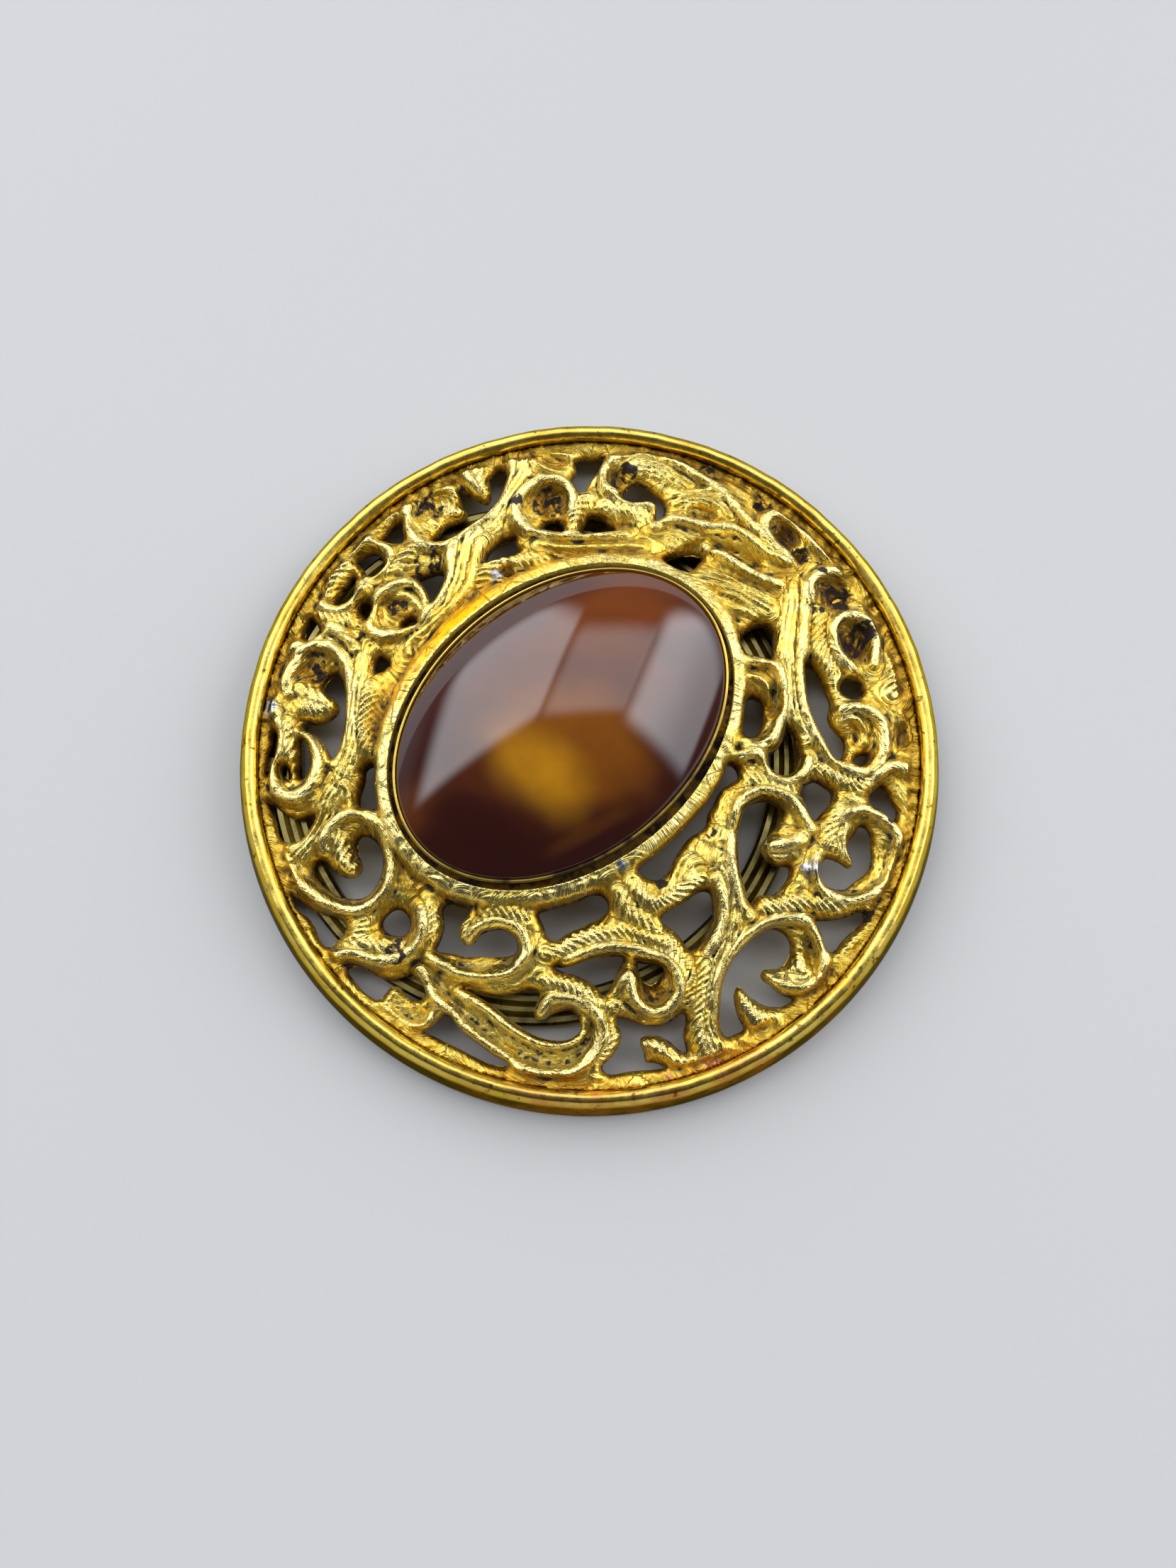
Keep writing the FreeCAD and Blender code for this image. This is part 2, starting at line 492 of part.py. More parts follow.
def hinge_plate(blank):
    """Two ears under the dome's edge, joined by an upright web behind the knuckle."""
    pieces = [solid_box(
        "hinge_web", "web_x - web_thickness", "web_x", "clip_y - ear_outer",
        "clip_y + ear_outer", "web_bottom", "web_top")]
    ears = {
        "lower": ("clip_y - ear_outer", "clip_y - ear_inner"),
        "upper": ("clip_y + ear_inner", "clip_y + ear_outer"),
    }
    for side, (low_y, high_y) in ears.items():
        pieces.append(hinge_cylinder(f"{side}_ear", "knuckle_radius", low_y, high_y))
        pieces.append(solid_box(
            f"{side}_arm", "web_x", "hinge_x", low_y, high_y, "web_bottom", "web_top"))
        pieces.append(solid_box(
            f"{side}_post", "hinge_x - knuckle_radius", "hinge_x + knuckle_radius", low_y, high_y,
            "hinge_z", "post_height"))
    under_dome = cut("hinge_under_dome", fuse("hinge_ears", *pieces), blank)
    bore = hinge_cylinder(
        "ear_bore", "pin_radius", "clip_y - ear_outer - 1", "clip_y + ear_outer + 1")
    return cut("hinge_plate", under_dome, bore)


def hinge_pin():
    """Pin held in both ears."""
    reach = "ear_outer + pin_proud"
    return hinge_cylinder("hinge_pin", "pin_radius", f"clip_y - {reach}", f"clip_y + {reach}")


def spring_tongue():
    """Flat spring on the web, just behind the ring's knuckle."""
    return solid_box(
        "spring_tongue", "web_x", "web_x + tongue_thickness", "clip_y - tongue_half_length",
        "clip_y + tongue_half_length", "web_bottom + running_gap", "web_top - running_gap")


def clip_ring():
    """Ring band with three ridges on its upper face, notched where the knuckle joins it."""
    middle = "( clip_inner_radius + clip_outer_radius ) / 2"
    corners = [
        ("clip_inner_radius", "clip_bottom"),
        ("clip_outer_radius", "clip_bottom"),
        ("clip_outer_radius", "clip_top - clip_bevel"),
        ("clip_outer_radius - clip_bevel", "clip_top")]
    for side in ("+", "-"):
        centre = f"{middle} {side} groove_offset"
        corners += [
            (f"{centre} + groove_half_width", "clip_top"),
            (centre, "clip_top - groove_depth"),
            (f"{centre} - groove_half_width", "clip_top")]
    corners += [
        ("clip_inner_radius + clip_bevel", "clip_top"),
        ("clip_inner_radius", "clip_top - clip_bevel")]
    body, turn = turned_body("clip_ring", corners)
    notch = profile_sketch(body, "notch_outline", "XY_Plane", [
        ("notch_x - clip_x - clip_outer_radius", "0 - notch_half_length"),
        ("notch_x - clip_x", "0 - notch_half_length"),
        ("notch_x - clip_x", "notch_half_length"),
        ("notch_x - clip_x - clip_outer_radius", "notch_half_length")])
    pocket = body.newObject("PartDesign::Pocket", "hinge_notch")
    pocket.Profile = notch
    pocket.Type = "ThroughAll"
    pocket.Reversed = True
    doc.recompute()
    if pocket.Shape.Volume > turn.Shape.Volume - 1:
        raise RuntimeError("the notch cuts nothing")
    return bind(body, x="clip_x", y="clip_y")


def hinge_lug():
    """Knuckle between the ears, with the neck that carries the ring."""
    low_y = "clip_y - ear_inner + running_gap"
    high_y = "clip_y + ear_inner - running_gap"
    knuckle = hinge_cylinder("knuckle", "knuckle_radius", low_y, high_y)
    neck = solid_box("neck", "hinge_x", "notch_x", low_y, high_y, "neck_bottom", "neck_top")
    bore = hinge_cylinder(
        "knuckle_bore", "pin_radius + running_gap", "clip_y - ear_outer", "clip_y + ear_outer")
    return cut("hinge_lug", fuse("lug_blank", knuckle, neck), bore)


blank = dome_blank()
subparts = [
    rim_band(), openwork_front(blank), setting_cup(), stone_cement(), cabochon(),
    hinge_plate(blank), hinge_pin(), spring_tongue(), clip_ring(), hinge_lug()]
doc.recompute()

for item in doc.Objects:
    if "Invalid" in item.State or "Error" in item.State:
        raise RuntimeError(f"{item.Label}: {item.State}")
for item in subparts:
    if item.Shape.isNull() or not item.Shape.isValid() or len(item.Shape.Solids) != 1:
        raise RuntimeError(f"{item.Label}: its shape isn't one valid solid")

os.makedirs("parts", exist_ok=True)
for item in subparts:
    item.Shape.exportStep(f"parts/{item.Label}.step")
    box = item.Shape.BoundBox
    print(
        f"{item.Label}: {item.Shape.Volume:.2f} mm3, x {box.XMin:.2f} to {box.XMax:.2f}, "
        f"y {box.YMin:.2f} to {box.YMax:.2f}, z {box.ZMin:.2f} to {box.ZMax:.2f}")
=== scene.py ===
import math

import bpy
import numpy as np
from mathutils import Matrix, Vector
from mathutils.bvhtree import BVHTree
from mathutils.kdtree import KDTree


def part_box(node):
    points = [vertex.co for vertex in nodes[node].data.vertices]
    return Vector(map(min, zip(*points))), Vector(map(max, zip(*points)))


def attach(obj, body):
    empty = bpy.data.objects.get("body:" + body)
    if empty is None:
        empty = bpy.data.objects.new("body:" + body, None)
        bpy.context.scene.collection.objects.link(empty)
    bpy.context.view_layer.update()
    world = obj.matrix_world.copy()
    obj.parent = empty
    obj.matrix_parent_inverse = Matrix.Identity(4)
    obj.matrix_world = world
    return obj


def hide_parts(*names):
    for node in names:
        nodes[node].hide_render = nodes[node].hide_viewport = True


# Scroll-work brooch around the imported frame. Shapes are worked out in millimetres and
# go to Blender in metres. The frame has +Z as the face, +Y as the upper edge.

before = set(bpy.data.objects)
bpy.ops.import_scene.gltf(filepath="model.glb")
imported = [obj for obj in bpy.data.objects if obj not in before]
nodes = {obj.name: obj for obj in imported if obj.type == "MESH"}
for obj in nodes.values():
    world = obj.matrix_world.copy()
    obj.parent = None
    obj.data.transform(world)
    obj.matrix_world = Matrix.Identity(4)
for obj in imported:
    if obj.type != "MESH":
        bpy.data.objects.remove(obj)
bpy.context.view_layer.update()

MM = 0.001


def box_mm(node):
    """Lowest and highest corner of a CAD node, in millimetres."""
    low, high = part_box(node)
    return Vector(low) / MM, Vector(high) / MM


SEAT_RADIUS = box_mm("openwork_front")[1].x
CUP_LOW, CUP_HIGH = box_mm("setting_cup")
STONE_LOW, STONE_HIGH = box_mm("cabochon")
OVAL_X = (CUP_LOW.x + CUP_HIGH.x) / 2
OVAL_Y = (CUP_LOW.y + CUP_HIGH.y) / 2
OVAL_ANGLE = math.radians(47)
COLLAR_INNER = (13.1, 9.8)
SEAT_FLOOR = CUP_LOW.z

# the casting's top and underside: height in the middle, and the fall to the edge
CROWN_HEIGHT, CROWN_FALL = 5.2, 2.95
UNDER_HEIGHT, UNDER_FALL = 3.4, 2.15


# ---- grid and fields

PITCH = 0.12
BLOCK = 8
CELLS = BLOCK * math.ceil(2 * (SEAT_RADIUS + 2 * PITCH) / PITCH / BLOCK)
HALF = CELLS * PITCH / 2
axis = np.linspace(-HALF, HALF, CELLS + 1)
GX, GY = np.meshgrid(axis, axis, indexing="ij")
RADIUS = np.hypot(GX, GY)


def oval_uv(x, y):
    """Coordinates along the oval's long and short axes."""
    c, s = math.cos(OVAL_ANGLE), math.sin(OVAL_ANGLE)
    return (x - OVAL_X) * c + (y - OVAL_Y) * s, -(x - OVAL_X) * s + (y - OVAL_Y) * c


def oval_distance(x, y, axes):
    """Distance outside an oval with these half axes; negative inside."""
    u, v = oval_uv(x, y)
    level = np.sqrt((u / axes[0]) ** 2 + (v / axes[1]) ** 2) + 1e-9
    slope = np.sqrt((u / axes[0] ** 2) ** 2 + (v / axes[1] ** 2) ** 2) / level + 1e-9
    return (level - 1) / slope


NOISE_TABLE = 97


def smooth_noise(x, y, cell, seed):
    """Smooth noise from -1 to 1 with bumps about one cell apart."""
    table = np.random.default_rng(seed).uniform(-1, 1, (NOISE_TABLE, NOISE_TABLE))
    i, j = np.floor(x / cell).astype(int), np.floor(y / cell).astype(int)
    a, b = x / cell - i, y / cell - j
    a, b = a * a * (3 - 2 * a), b * b * (3 - 2 * b)
    i, j, i1, j1 = (n % NOISE_TABLE for n in (i, j, i + 1, j + 1))
    return ((table[i, j] * (1 - a) + table[i1, j] * a) * (1 - b)
            + (table[i, j1] * (1 - a) + table[i1, j1] * a) * b)


def grid_noise(cell, seed):
    return smooth_noise(GX, GY, cell, seed)


def blur(field, cells):
    """Box blur, three passes, by running sums."""
    span = 2 * cells + 1
    for _ in range(3):
        for side in (0, 1):
            pad = [(0, 0), (0, 0)]
            pad[side] = (cells + 1, cells)
            total = np.cumsum(np.pad(field, pad, "edge"), side)
            n = field.shape[side]
            field = (np.take(total, range(span, span + n), side)
                     - np.take(total, range(n), side)) / span
    return field


def smooth_max(a, b, blend=0.12):
    return 0.5 * (a + b + np.sqrt((a - b) ** 2 + blend ** 2))


def smooth_step(low, high, value):
    t = np.clip((value - low) / (high - low), 0, 1)
    return t * t * (3 - 2 * t)


def bell(value, width, power=2):
    """1 at zero, falling off about the width; a higher power has a flatter top."""
    return np.exp(-(value / width) ** power)


def wave(phase):
    """From 0 to 1 and back, once for each whole number of the phase."""
    return 0.5 - 0.5 * np.cos(2 * math.pi * phase)


def curve_through(route, step=0.22):
    """Points on a smooth curve through a route of x, y, x, y and so on."""
    p = np.array(route, float).reshape(-1, 2)
    ends = np.vstack([2 * p[0] - p[1], p, 2 * p[-1] - p[-2]])
    out = []
    for k in range(len(p) - 1):
        p0, p1, p2, p3 = ends[k:k + 4]
        n = max(2, int(math.ceil(np.linalg.norm(p2 - p1) / step)))
        t = np.linspace(0, 1, n, endpoint=False)[:, None]
        out.append(0.5 * (2 * p1 + (p2 - p0) * t + (2 * p0 - 5 * p1 + 4 * p2 - p3) * t ** 2
                          + (3 * p1 - p0 - 3 * p2 + p3) * t ** 3))
    out.append(p[-1:])
    return np.vstack(out)


def beside(route, reach):
    """The grid window round a route: signed distance across it and length along it."""
    p = curve_through(route)
    low, high = p.min(0) - reach, p.max(0) + reach
    i0, j0 = np.maximum(((low + HALF) / PITCH).astype(int), 0)
    i1, j1 = np.minimum(((high + HALF) / PITCH).astype(int) + 2, CELLS + 1)
    window = (slice(i0, i1), slice(j0, j1))
    x, y = GX[window].ravel()[:, None], GY[window].ravel()[:, None]
    a, d = p[:-1], p[1:] - p[:-1]
    size = np.maximum((d ** 2).sum(1), 1e-12)
    t = np.clip(((x - a[:, 0]) * d[:, 0] + (y - a[:, 1]) * d[:, 1]) / size, 0, 1)
    dx, dy = x - a[:, 0] - t * d[:, 0], y - a[:, 1] - t * d[:, 1]
    far = dx ** 2 + dy ** 2
    k = far.argmin(1)
    rows = np.arange(len(k))
    run = np.concatenate([[0], np.cumsum(np.sqrt(size))])
    side = np.sign(d[k, 0] * dy[rows, k] - d[k, 1] * dx[rows, k])
    shape = GX[window].shape
    across = (np.sqrt(far[rows, k]) * np.where(side == 0, 1, side)).reshape(shape)
    along = (run[k] + t[rows, k] * np.sqrt(size[k])).reshape(shape)
    return window, across, along, run[-1]


# ---- openings from the frame

def mesh_tree(obj):
    mesh = obj.data
    points = [v.co / MM for v in mesh.vertices]
    return BVHTree.FromPolygons(points, [tuple(p.vertices) for p in mesh.polygons])


cad_tree = mesh_tree(nodes["openwork_front"])
DOWN = Vector((0, 0, -1))
SEAT_EDGE = SEAT_RADIUS - 0.03
RAY_START = 30.0


def is_solid(x, y):
    if x * x + y * y > SEAT_EDGE ** 2:
        return False
    return cad_tree.ray_cast(Vector((x, y, RAY_START)), DOWN)[0] is not None


def in_oval(x, y):
    return oval_distance(x, y, COLLAR_INNER) < 0


solid = np.array([[is_solid(x, y) for y in axis] for x in axis])
oval = in_oval(GX, GY)


def crossing(test, p, q, halvings=7):
    """The point between p and q where the test changes."""
    first = test(*p)
    for _ in range(halvings):
        mid = ((p[0] + q[0]) / 2, (p[1] + q[1]) / 2)
        if test(*mid) == first:
            p = mid
        else:
            q = mid
    return ((p[0] + q[0]) / 2, (p[1] + q[1]) / 2)


crossings = {}
for direction, (di, dj) in enumerate(((1, 0), (0, 1))):
    for field, test in ((solid, is_solid), (oval, in_oval)):
        changed = field[:CELLS + 1 - di, :CELLS + 1 - dj] != field[di:, dj:]
        if field is oval:
            changed &= solid[:CELLS + 1 - di, :CELLS + 1 - dj] & solid[di:, dj:]
        for i, j in zip(*np.nonzero(changed)):
            point = crossing(test, (axis[i], axis[j]), (axis[i + di], axis[j + dj]))
            crossings[(int(i), int(j), direction)] = point

CLEAR = 0.1
edge_points = [p for p in crossings.values() if math.hypot(*p) < SEAT_EDGE - CLEAR
               and oval_distance(*p, COLLAR_INNER) > CLEAR]
edge_tree = KDTree(len(edge_points))
for index, p in enumerate(edge_points):
    edge_tree.insert((p[0], p[1], 0), index)
edge_tree.balance()

EDGE_REACH = 3.0
edge_distance = np.full(GX.shape, EDGE_REACH)
for i, j in zip(*np.nonzero(RADIUS < SEAT_RADIUS + 0.3)):
    found = edge_tree.find((GX[i, j], GY[i, j], 0))[2]
    edge_distance[i, j] = min(found, EDGE_REACH) * (1 if solid[i, j] else -1)

# ---- scroll work

# half width of the crest, its rise, pitch of flutes across it, pitch of striations along
# it, and the slant of its bark in degrees
STYLES = {
    "crest": (0.49, 0.80, 0, 0, 16),
    "line": (0.26, 0.42, 0, 0, 10),
    "thick": (0.54, 0.86, 0, 0, 20),
    "rope": (0.74, 0.72, 0.52, 0, 48),
    "leaf": (0.66, 0.64, 0.66, 0, 38),
    "shaft": (1.00, 0.60, 0, 0.40, 9),
    "wide": (1.30, 0.60, 0, 0.46, 6),
    "flutes": (0.90, 0.52, 0.52, 0, 55),
}

# style, then the x and y of each point that the scroll passes through
SCROLLS = [
    # north west
    ("crest", -11.3, 18, -12, 18.45, -12.9, 18.5, -13.8, 18.2, -14.5, 17.6, -14.8, 16.8,
     -14.85, 15.9, -14.7, 15, -14.2, 14.3, -13.6, 13.8, -12.9, 13.5, -12.1, 13.55, -11.4, 13.9,
     -10.6, 14.6, -9.2, 15.9, -8.6, 16.6, -8.1, 17.5, -7.8, 18.4, -7.7, 20.5, -7.4, 22.1,
     -6.6, 22.3),
    ("crest", -13.5, 18.9, -12.4, 19.5, -11.5, 19.8, -10.9, 19.6, -10.6, 19.2, -10.2, 18.6,
     -10, 18.1),
    ("leaf", -10.3, 20.8, -10.1, 20, -9.8, 19.3, -9.4, 18.5, -9.2, 17.7),
    ("leaf", -11.2, 16.5, -12, 16.9, -12.9, 17.3),
    ("line", -12.2, 15.2, -12.9, 15.8, -13.4, 16.6),
    ("crest", -16.9, 9.6, -17.4, 9.2, -18, 8.7, -18.7, 8.35, -19.4, 8.35, -20.1, 8.7, -20.6, 9.2,
     -20.9, 9.9, -20.7, 10.6, -20.4, 11.3, -19.2, 12.5, -17.9, 13.5, -17.2, 13.75, -16.5, 13.65,
     -15.6, 12.9, -15.6, 12.3, -15.75, 11.8, -16.1, 11.3, -16.7, 11.05),
    ("line", -19.6, 13.2, -18.6, 13.9, -17.6, 14.1, -16.6, 14.05, -15.7, 14.1),
    ("leaf", -19.6, 9.6, -19.5, 10.4, -19.1, 11.2, -18.5, 12),
    ("rope", -18.3, 14.6, -17.5, 15.3, -16.6, 16, -15.7, 16.5, -15.3, 16.4),
    ("leaf", -15.3, 11.2, -14.6, 12.3, -13.8, 13.2, -12.9, 13.4),
    ("wide", -9.6, 15, -10.1, 14, -10.2, 12.5, -10.3, 11, -10.8, 9.6, -11.6, 8.4, -12.6, 7.2),
    ("crest", -11, 13.8, -11.1, 12.8, -11, 11.6, -11.15, 10.6, -11.5, 9.6, -12.6, 7.8, -13.5, 7,
     -14.2, 6.6, -15, 6.4, -15.8, 6.7, -16.2, 7.3, -16.3, 8.2, -16.1, 9, -15.6, 9.6, -14.9, 10.1,
     -14, 10.5, -13.3, 10.6, -12.9, 10.2, -12.4, 9.5, -12.3, 9),
    ("line", -9, 14, -9.2, 12.8, -9.4, 10.6, -10.2, 9.3, -11.2, 8.1, -12.3, 7, -13.2, 6,
     -13.1, 5.2),
    ("line", -14.8, 9.5, -14, 9.6, -13.2, 9.2, -12.7, 8.5),
    ("line", -15.4, 8.6, -14.9, 7.8, -14.2, 7.5),
    # west
    ("crest", -21.4, 2, -21.6, 2.6, -21.5, 3.4, -21.1, 4.2, -20.9, 5, -20.2, 5.5, -19.4, 5.6,
     -18.6, 5.4, -17.9, 4.9, -17.4, 4.1, -17.1, 3.2, -16.85, 1, -16.9, -1, -17, -2, -17.3, -2.8),
    ("leaf", -20.6, 2.3, -19.5, 2, -18.5, 1.75, -17.9, 1.3),
    ("flutes", -20.8, 1.2, -19.8, 1, -18.8, 0.8),
    ("crest", -22.6, 6.8, -22.4, 6, -22, 5.3, -21.5, 5.35, -20.8, 5.7, -19.5, 6.6, -19, 6.9,
     -18.2, 6.6, -17.5, 6, -17, 5.4),
    ("flutes", -20, 6, -18.6, 6.2, -17.2, 6.4),
    ("rope", -19.9, 8, -18.9, 7.6, -17.8, 7.5, -17, 7.2),
    ("thick", -22, 0.2, -21.6, -0.5, -21.5, -1.5, -21.6, -2.5, -21.8, -3.3, -21.7, -4, -21.4, -4.7,
     -20.9, -5.2, -20.1, -5.4, -19.4, -5.2, -18.8, -4.6, -18.6, -3.8, -18.5, -3, -18.7, -2.3,
     -19.1, -1.6, -19.6, -1.1, -20.1, -0.9),
    ("crest", -20.2, -0.7, -19.4, -0.8, -18.7, -1.2, -18.2, -1.9, -17.7, -2.6),
    ("leaf", -21.2, 0, -20.9, -1, -20.7, -2, -20.5, -3, -20.3, -4.2),
    ("line", -21.9, -5.2, -21, -5.6, -20, -5.8, -19, -5.6, -18.2, -5.1),
    ("shaft", -15.9, 5.6, -16.3, 4, -16.4, 2, -16.3, 0, -16.4, -2, -16.8, -3.5, -17.3, -5,
     -17.9, -6.5, -18.7, -8, -19.7, -9.4),
    ("rope", -15.5, 2.6, -15.7, 1, -15.6, -0.5, -15.2, -1.6, -14.7, -2.2),
    ("crest", -17.3, -8.9, -17.4, -8.2, -17.1, -7.4, -16.5, -6.7, -15.7, -6.2, -14.9, -6.1,
     -14, -6.6, -13.3, -7.4, -12.6, -9.2, -12.5, -10.2, -12.7, -11.1, -13.2, -11.8, -13.9, -12.4,
     -14.8, -12.7, -15.8, -12.7, -16.9, -12.3, -18.7, -11.2, -20.4, -9.9, -21.3, -9.2),
    ("leaf", -16.9, -7.5, -16.3, -8.3, -15.9, -9.2, -15.4, -10.1),
    ("line", -17.2, -4, -16.2, -4.6, -15.9, -5.6),
    # south west and south
    ("crest", -10.1, -12.3, -9.9, -13.2, -10, -14.2, -10.5, -15, -11.3, -15.6, -12.4, -15.9,
     -13.6, -15.8, -14.7, -15.6, -15.6, -15.8, -16.6, -16),
    ("leaf", -9.5, -11.8, -9.2, -13, -9.3, -14.5),
    ("leaf", -15, -15, -13.8, -14.9, -12.6, -14.9, -11.5, -14.7),
    ("flutes", -13.9, -13.3, -14.4, -14.1, -15, -14.7),
    ("crest", -7, -17.5, -5.5, -18.1, -4, -19, -2.5, -19.8, -0.8, -20.2, 0.6, -19.9, 1.3, -19.2,
     1.3, -18.6),
    ("crest", -7.6, -18.8, -7, -19.3, -6, -20, -5, -20.6, -4, -21.2, -3, -21.7, -1.8, -22,
     -0.5, -22.1, 0.7, -21.9, 1.6, -21.3, 2.3, -20.4, 2.6, -19.4, 2.5, -18.6, 2.2, -18,
     1.6, -17.4),
    ("crest", 1.6, -17.7, 0.8, -17.3, -0.2, -17.2, -1, -17.3, -1.4, -17.9, -1.7, -18.7),
    ("flutes", 3.2, -17.5, 3.6, -18.6, 3.6, -19.6, 3.2, -20.6, 2.6, -21.5),
    ("crest", -9.2, -15.3, -8.2, -15.8, -7, -16.2, -5.8, -16.2, -4.8, -16, -3.8, -15.7,
     -3.2, -15.1, -2.9, -14.4, -3.1, -13.6, -3.6, -13, -4.4, -12.75, -5.4, -12.8, -6.2, -13.2,
     -6.8, -14),
    ("leaf", -7.3, -12.4, -7.4, -13.4, -6.9, -14.2),
    ("rope", -5.6, -11.9, -4.2, -12, -3, -12.3),
    ("crest", -14.8, -17, -13.8, -18.2, -12.8, -19, -11.8, -19.5, -10.6, -20, -9.6, -20.1,
     -8.8, -19.7, -8.4, -19),
    ("crest", -9.8, -16.4, -9, -17.4, -8.3, -18.2, -7.6, -18.8),
    ("flutes", -1.5, -14.3, -0.5, -13.9, 0.8, -13.2, 2.2, -12.8, 3.8, -12.6, 5.2, -12.8,
     6.6, -13.4, 7.7, -14.4, 8.2, -15.4, 8.2, -16.5, 7.6, -17.4),
    ("crest", 0, -14.9, 1.2, -14.2, 2.5, -13.7, 4, -13.6, 5.5, -13.9, 6.5, -14.2, 7.2, -14.9,
     7.5, -15.8, 7.3, -16.6, 6.7, -17.3, 5.9, -17.5, 5, -17.1, 4.4, -16.3, 4.3, -15.6, 4, -15.4,
     3.4, -15.8, 3.1, -16.3),
    ("rope", -1.6, -16.1, -0.2, -16.2, 1, -16.6, 2.2, -17.2),
    ("rope", 3.9, -9.2, 4.4, -9.9, 5, -10.4, 5.7, -10.5, 6.6, -10.2, 7.3, -9.6, 7.9, -9.1,
     8.4, -8.8),
    ("leaf", 2.9, -10, 3.6, -11, 4.6, -11.6, 5.6, -11.9),
    ("crest", 9.4, -8.5, 9.7, -9.5, 9.9, -10.5, 9.8, -11.5, 9.5, -12.5, 9.1, -13.3),
    ("shaft", 9.9, -7, 10.6, -8.9, 10.8, -10.5, 10.6, -12, 10.1, -13.5, 9.8, -15, 9.6, -16.5,
     9.7, -18, 10.2, -19.5),
    ("rope", 9.1, -14, 9, -15.5, 8.9, -17, 9, -18.5, 9.6, -20),
    ("leaf", 5.3, -19.6, 6.2, -19.7, 7.2, -20.2, 8.4, -20.5, 9.2, -20.6),
    # south east
    ("crest", 10.3, -18, 10.15, -16.5, 10.15, -15, 10.4, -14.3, 10.7, -13.5, 11.2, -12.7,
     11.8, -12, 12.5, -11.4, 13.3, -10.9, 14.2, -10.6, 15.2, -10.5, 15.9, -10.6, 16.3, -11.1,
     16.7, -11.9, 17.1, -12.6, 17.1, -13.5, 17, -14.3, 16.7, -15),
    ("crest", 13.8, -14.9, 14.8, -15.1, 15.8, -15, 16.6, -14.6),
    ("leaf", 15.3, -13.4, 15.8, -14.1, 15.4, -14.6),
    ("flutes", 11.4, -15.8, 11.9, -16.6, 12.6, -17.2, 13.4, -17.7),
    ("crest", 16.2, -6.1, 16.1, -6.9, 16.3, -7.7, 16.8, -8.4, 17.6, -8.8, 18.6, -8.9, 19.6, -8.6,
     20.5, -8, 21.2, -7.2, 21.7, -6.3, 21.9, -5.4, 21.8, -4.4, 21.4, -3.7, 20.8, -3.2, 20, -2.8,
     19.2, -2.6, 18.4, -2.8, 17.6, -3.3),
    ("line", 18, -3.9, 17.9, -4.8, 18.2, -5.6, 18.7, -6.4),
    ("flutes", 17.6, -2.6, 17, -3.8, 16.8, -5, 17.2, -5.9),
    ("thick", 15, -5, 14, -5.6, 13, -5.8),
    ("line", 12.4, -6.1, 13, -6.6, 13.8, -6.6, 14.3, -6.2),
    ("crest", 10.4, -4.6, 10.4, -3.6, 10.9, -2.9, 11.7, -2.3, 12.6, -2.15, 13.6, -2.4, 14.4, -2.9,
     15, -3.6, 15.5, -4.3),
    ("thick", 10.2, -5.5, 10.2, -6.6, 10.4, -7.7, 10.8, -8.8, 11.3, -9.9, 11.7, -10.6),
    ("rope", 12.3, -9.7, 13.5, -9.8, 14.8, -9.5, 16, -9.5, 17.2, -9.4, 18.6, -9.3, 19.8, -8.9,
     20.8, -8.3),
    ("flutes", 20.6, -9.8, 20.2, -10.9, 19.4, -11.9, 18.6, -12.8, 18, -13.5, 17.7, -14.1),
    # east
    ("crest", 14.2, 13, 14.2, 11.5, 14.15, 10, 14.15, 8, 14.3, 6, 14.7, 4, 15.1, 3.1, 15.6, 2.2,
     16.2, 1.3, 16.8, 0.6, 17.6, 0.15, 18.5, 0, 19.3, 0.2, 19.9, 0.8, 20.3, 1.6, 20.3, 2.6,
     20.1, 3.6, 19.5, 4.2, 18.8, 4.5, 18, 4.5, 17.3, 4.2),
    ("shaft", 13.3, 13, 13.2, 10, 13.1, 8.5, 13.1, 7, 13.3, 5.5, 13.5, 4, 13.9, 2.9, 14.6, 1.9),
    ("crest", 10.5, 7, 12, 7, 12.8, 6, 13, 4.5, 13, 3.4, 12.8, 2.3, 12.4, 1.4, 11.5, 0.9, 10.6, 1),
    ("line", 10, 5.6, 10.9, 5.7, 11.8, 5.2, 12.2, 4.2),
    ("crest", 17.9, 7.1, 17.4, 7.7, 16.9, 8.4, 16.5, 9.1, 16.3, 10, 16.8, 11, 17.6, 11.3,
     18.5, 11.1, 19.2, 10.5, 19.4, 9.6, 19.4, 8.6, 19.4, 7.9),
    ("flutes", 15.2, 11.2, 15.2, 10.2, 15.3, 9, 15.7, 7.8, 16.4, 6.8),
    ("crest", 14.6, 12.2, 14.5, 13.2, 15, 14, 15.9, 14.5, 16.9, 14.6, 17.9, 14.6, 18.4, 14.2,
     19.2, 13.2, 19.8, 12.3),
    ("leaf", 20.8, 9.6, 20.9, 8.4, 21, 7.2, 20.8, 6),
    ("crest", 19.6, -0.7, 20.3, 0.2, 21, 0.7, 22, 0.6, 23, 0.1),
    ("rope", 15.3, -0.4, 16.5, -0.5, 17.5, -0.9, 18.7, -1.1, 19.6, -0.6),
    ("line", 17.4, -1.8, 18.6, -2, 19.5, -2.1),
    ("crest", 9.8, -0.3, 11, 0.3, 11.6, 0.3, 12.1, -0.2, 12.6, -0.9, 13.4, -1.15, 14.2, -0.9,
     14.8, -0.4, 15, 0.4),
    ("flutes", 10.2, -1.2, 11.5, -1.4, 13, -1.7, 14.4, -1.9),
    ("line", 18.9, 2.2, 18.8, 3.1, 18.2, 3.7, 17.4, 3.5),
    # north east and north
    ("crest", 3.2, 16.4, 3.8, 16.8, 4.8, 17, 5.8, 16.85, 7, 16.7, 8, 16.8, 9, 16.7, 10, 16.2,
     11, 15.6, 11.8, 15.1, 12.4, 14.8, 13, 14.9),
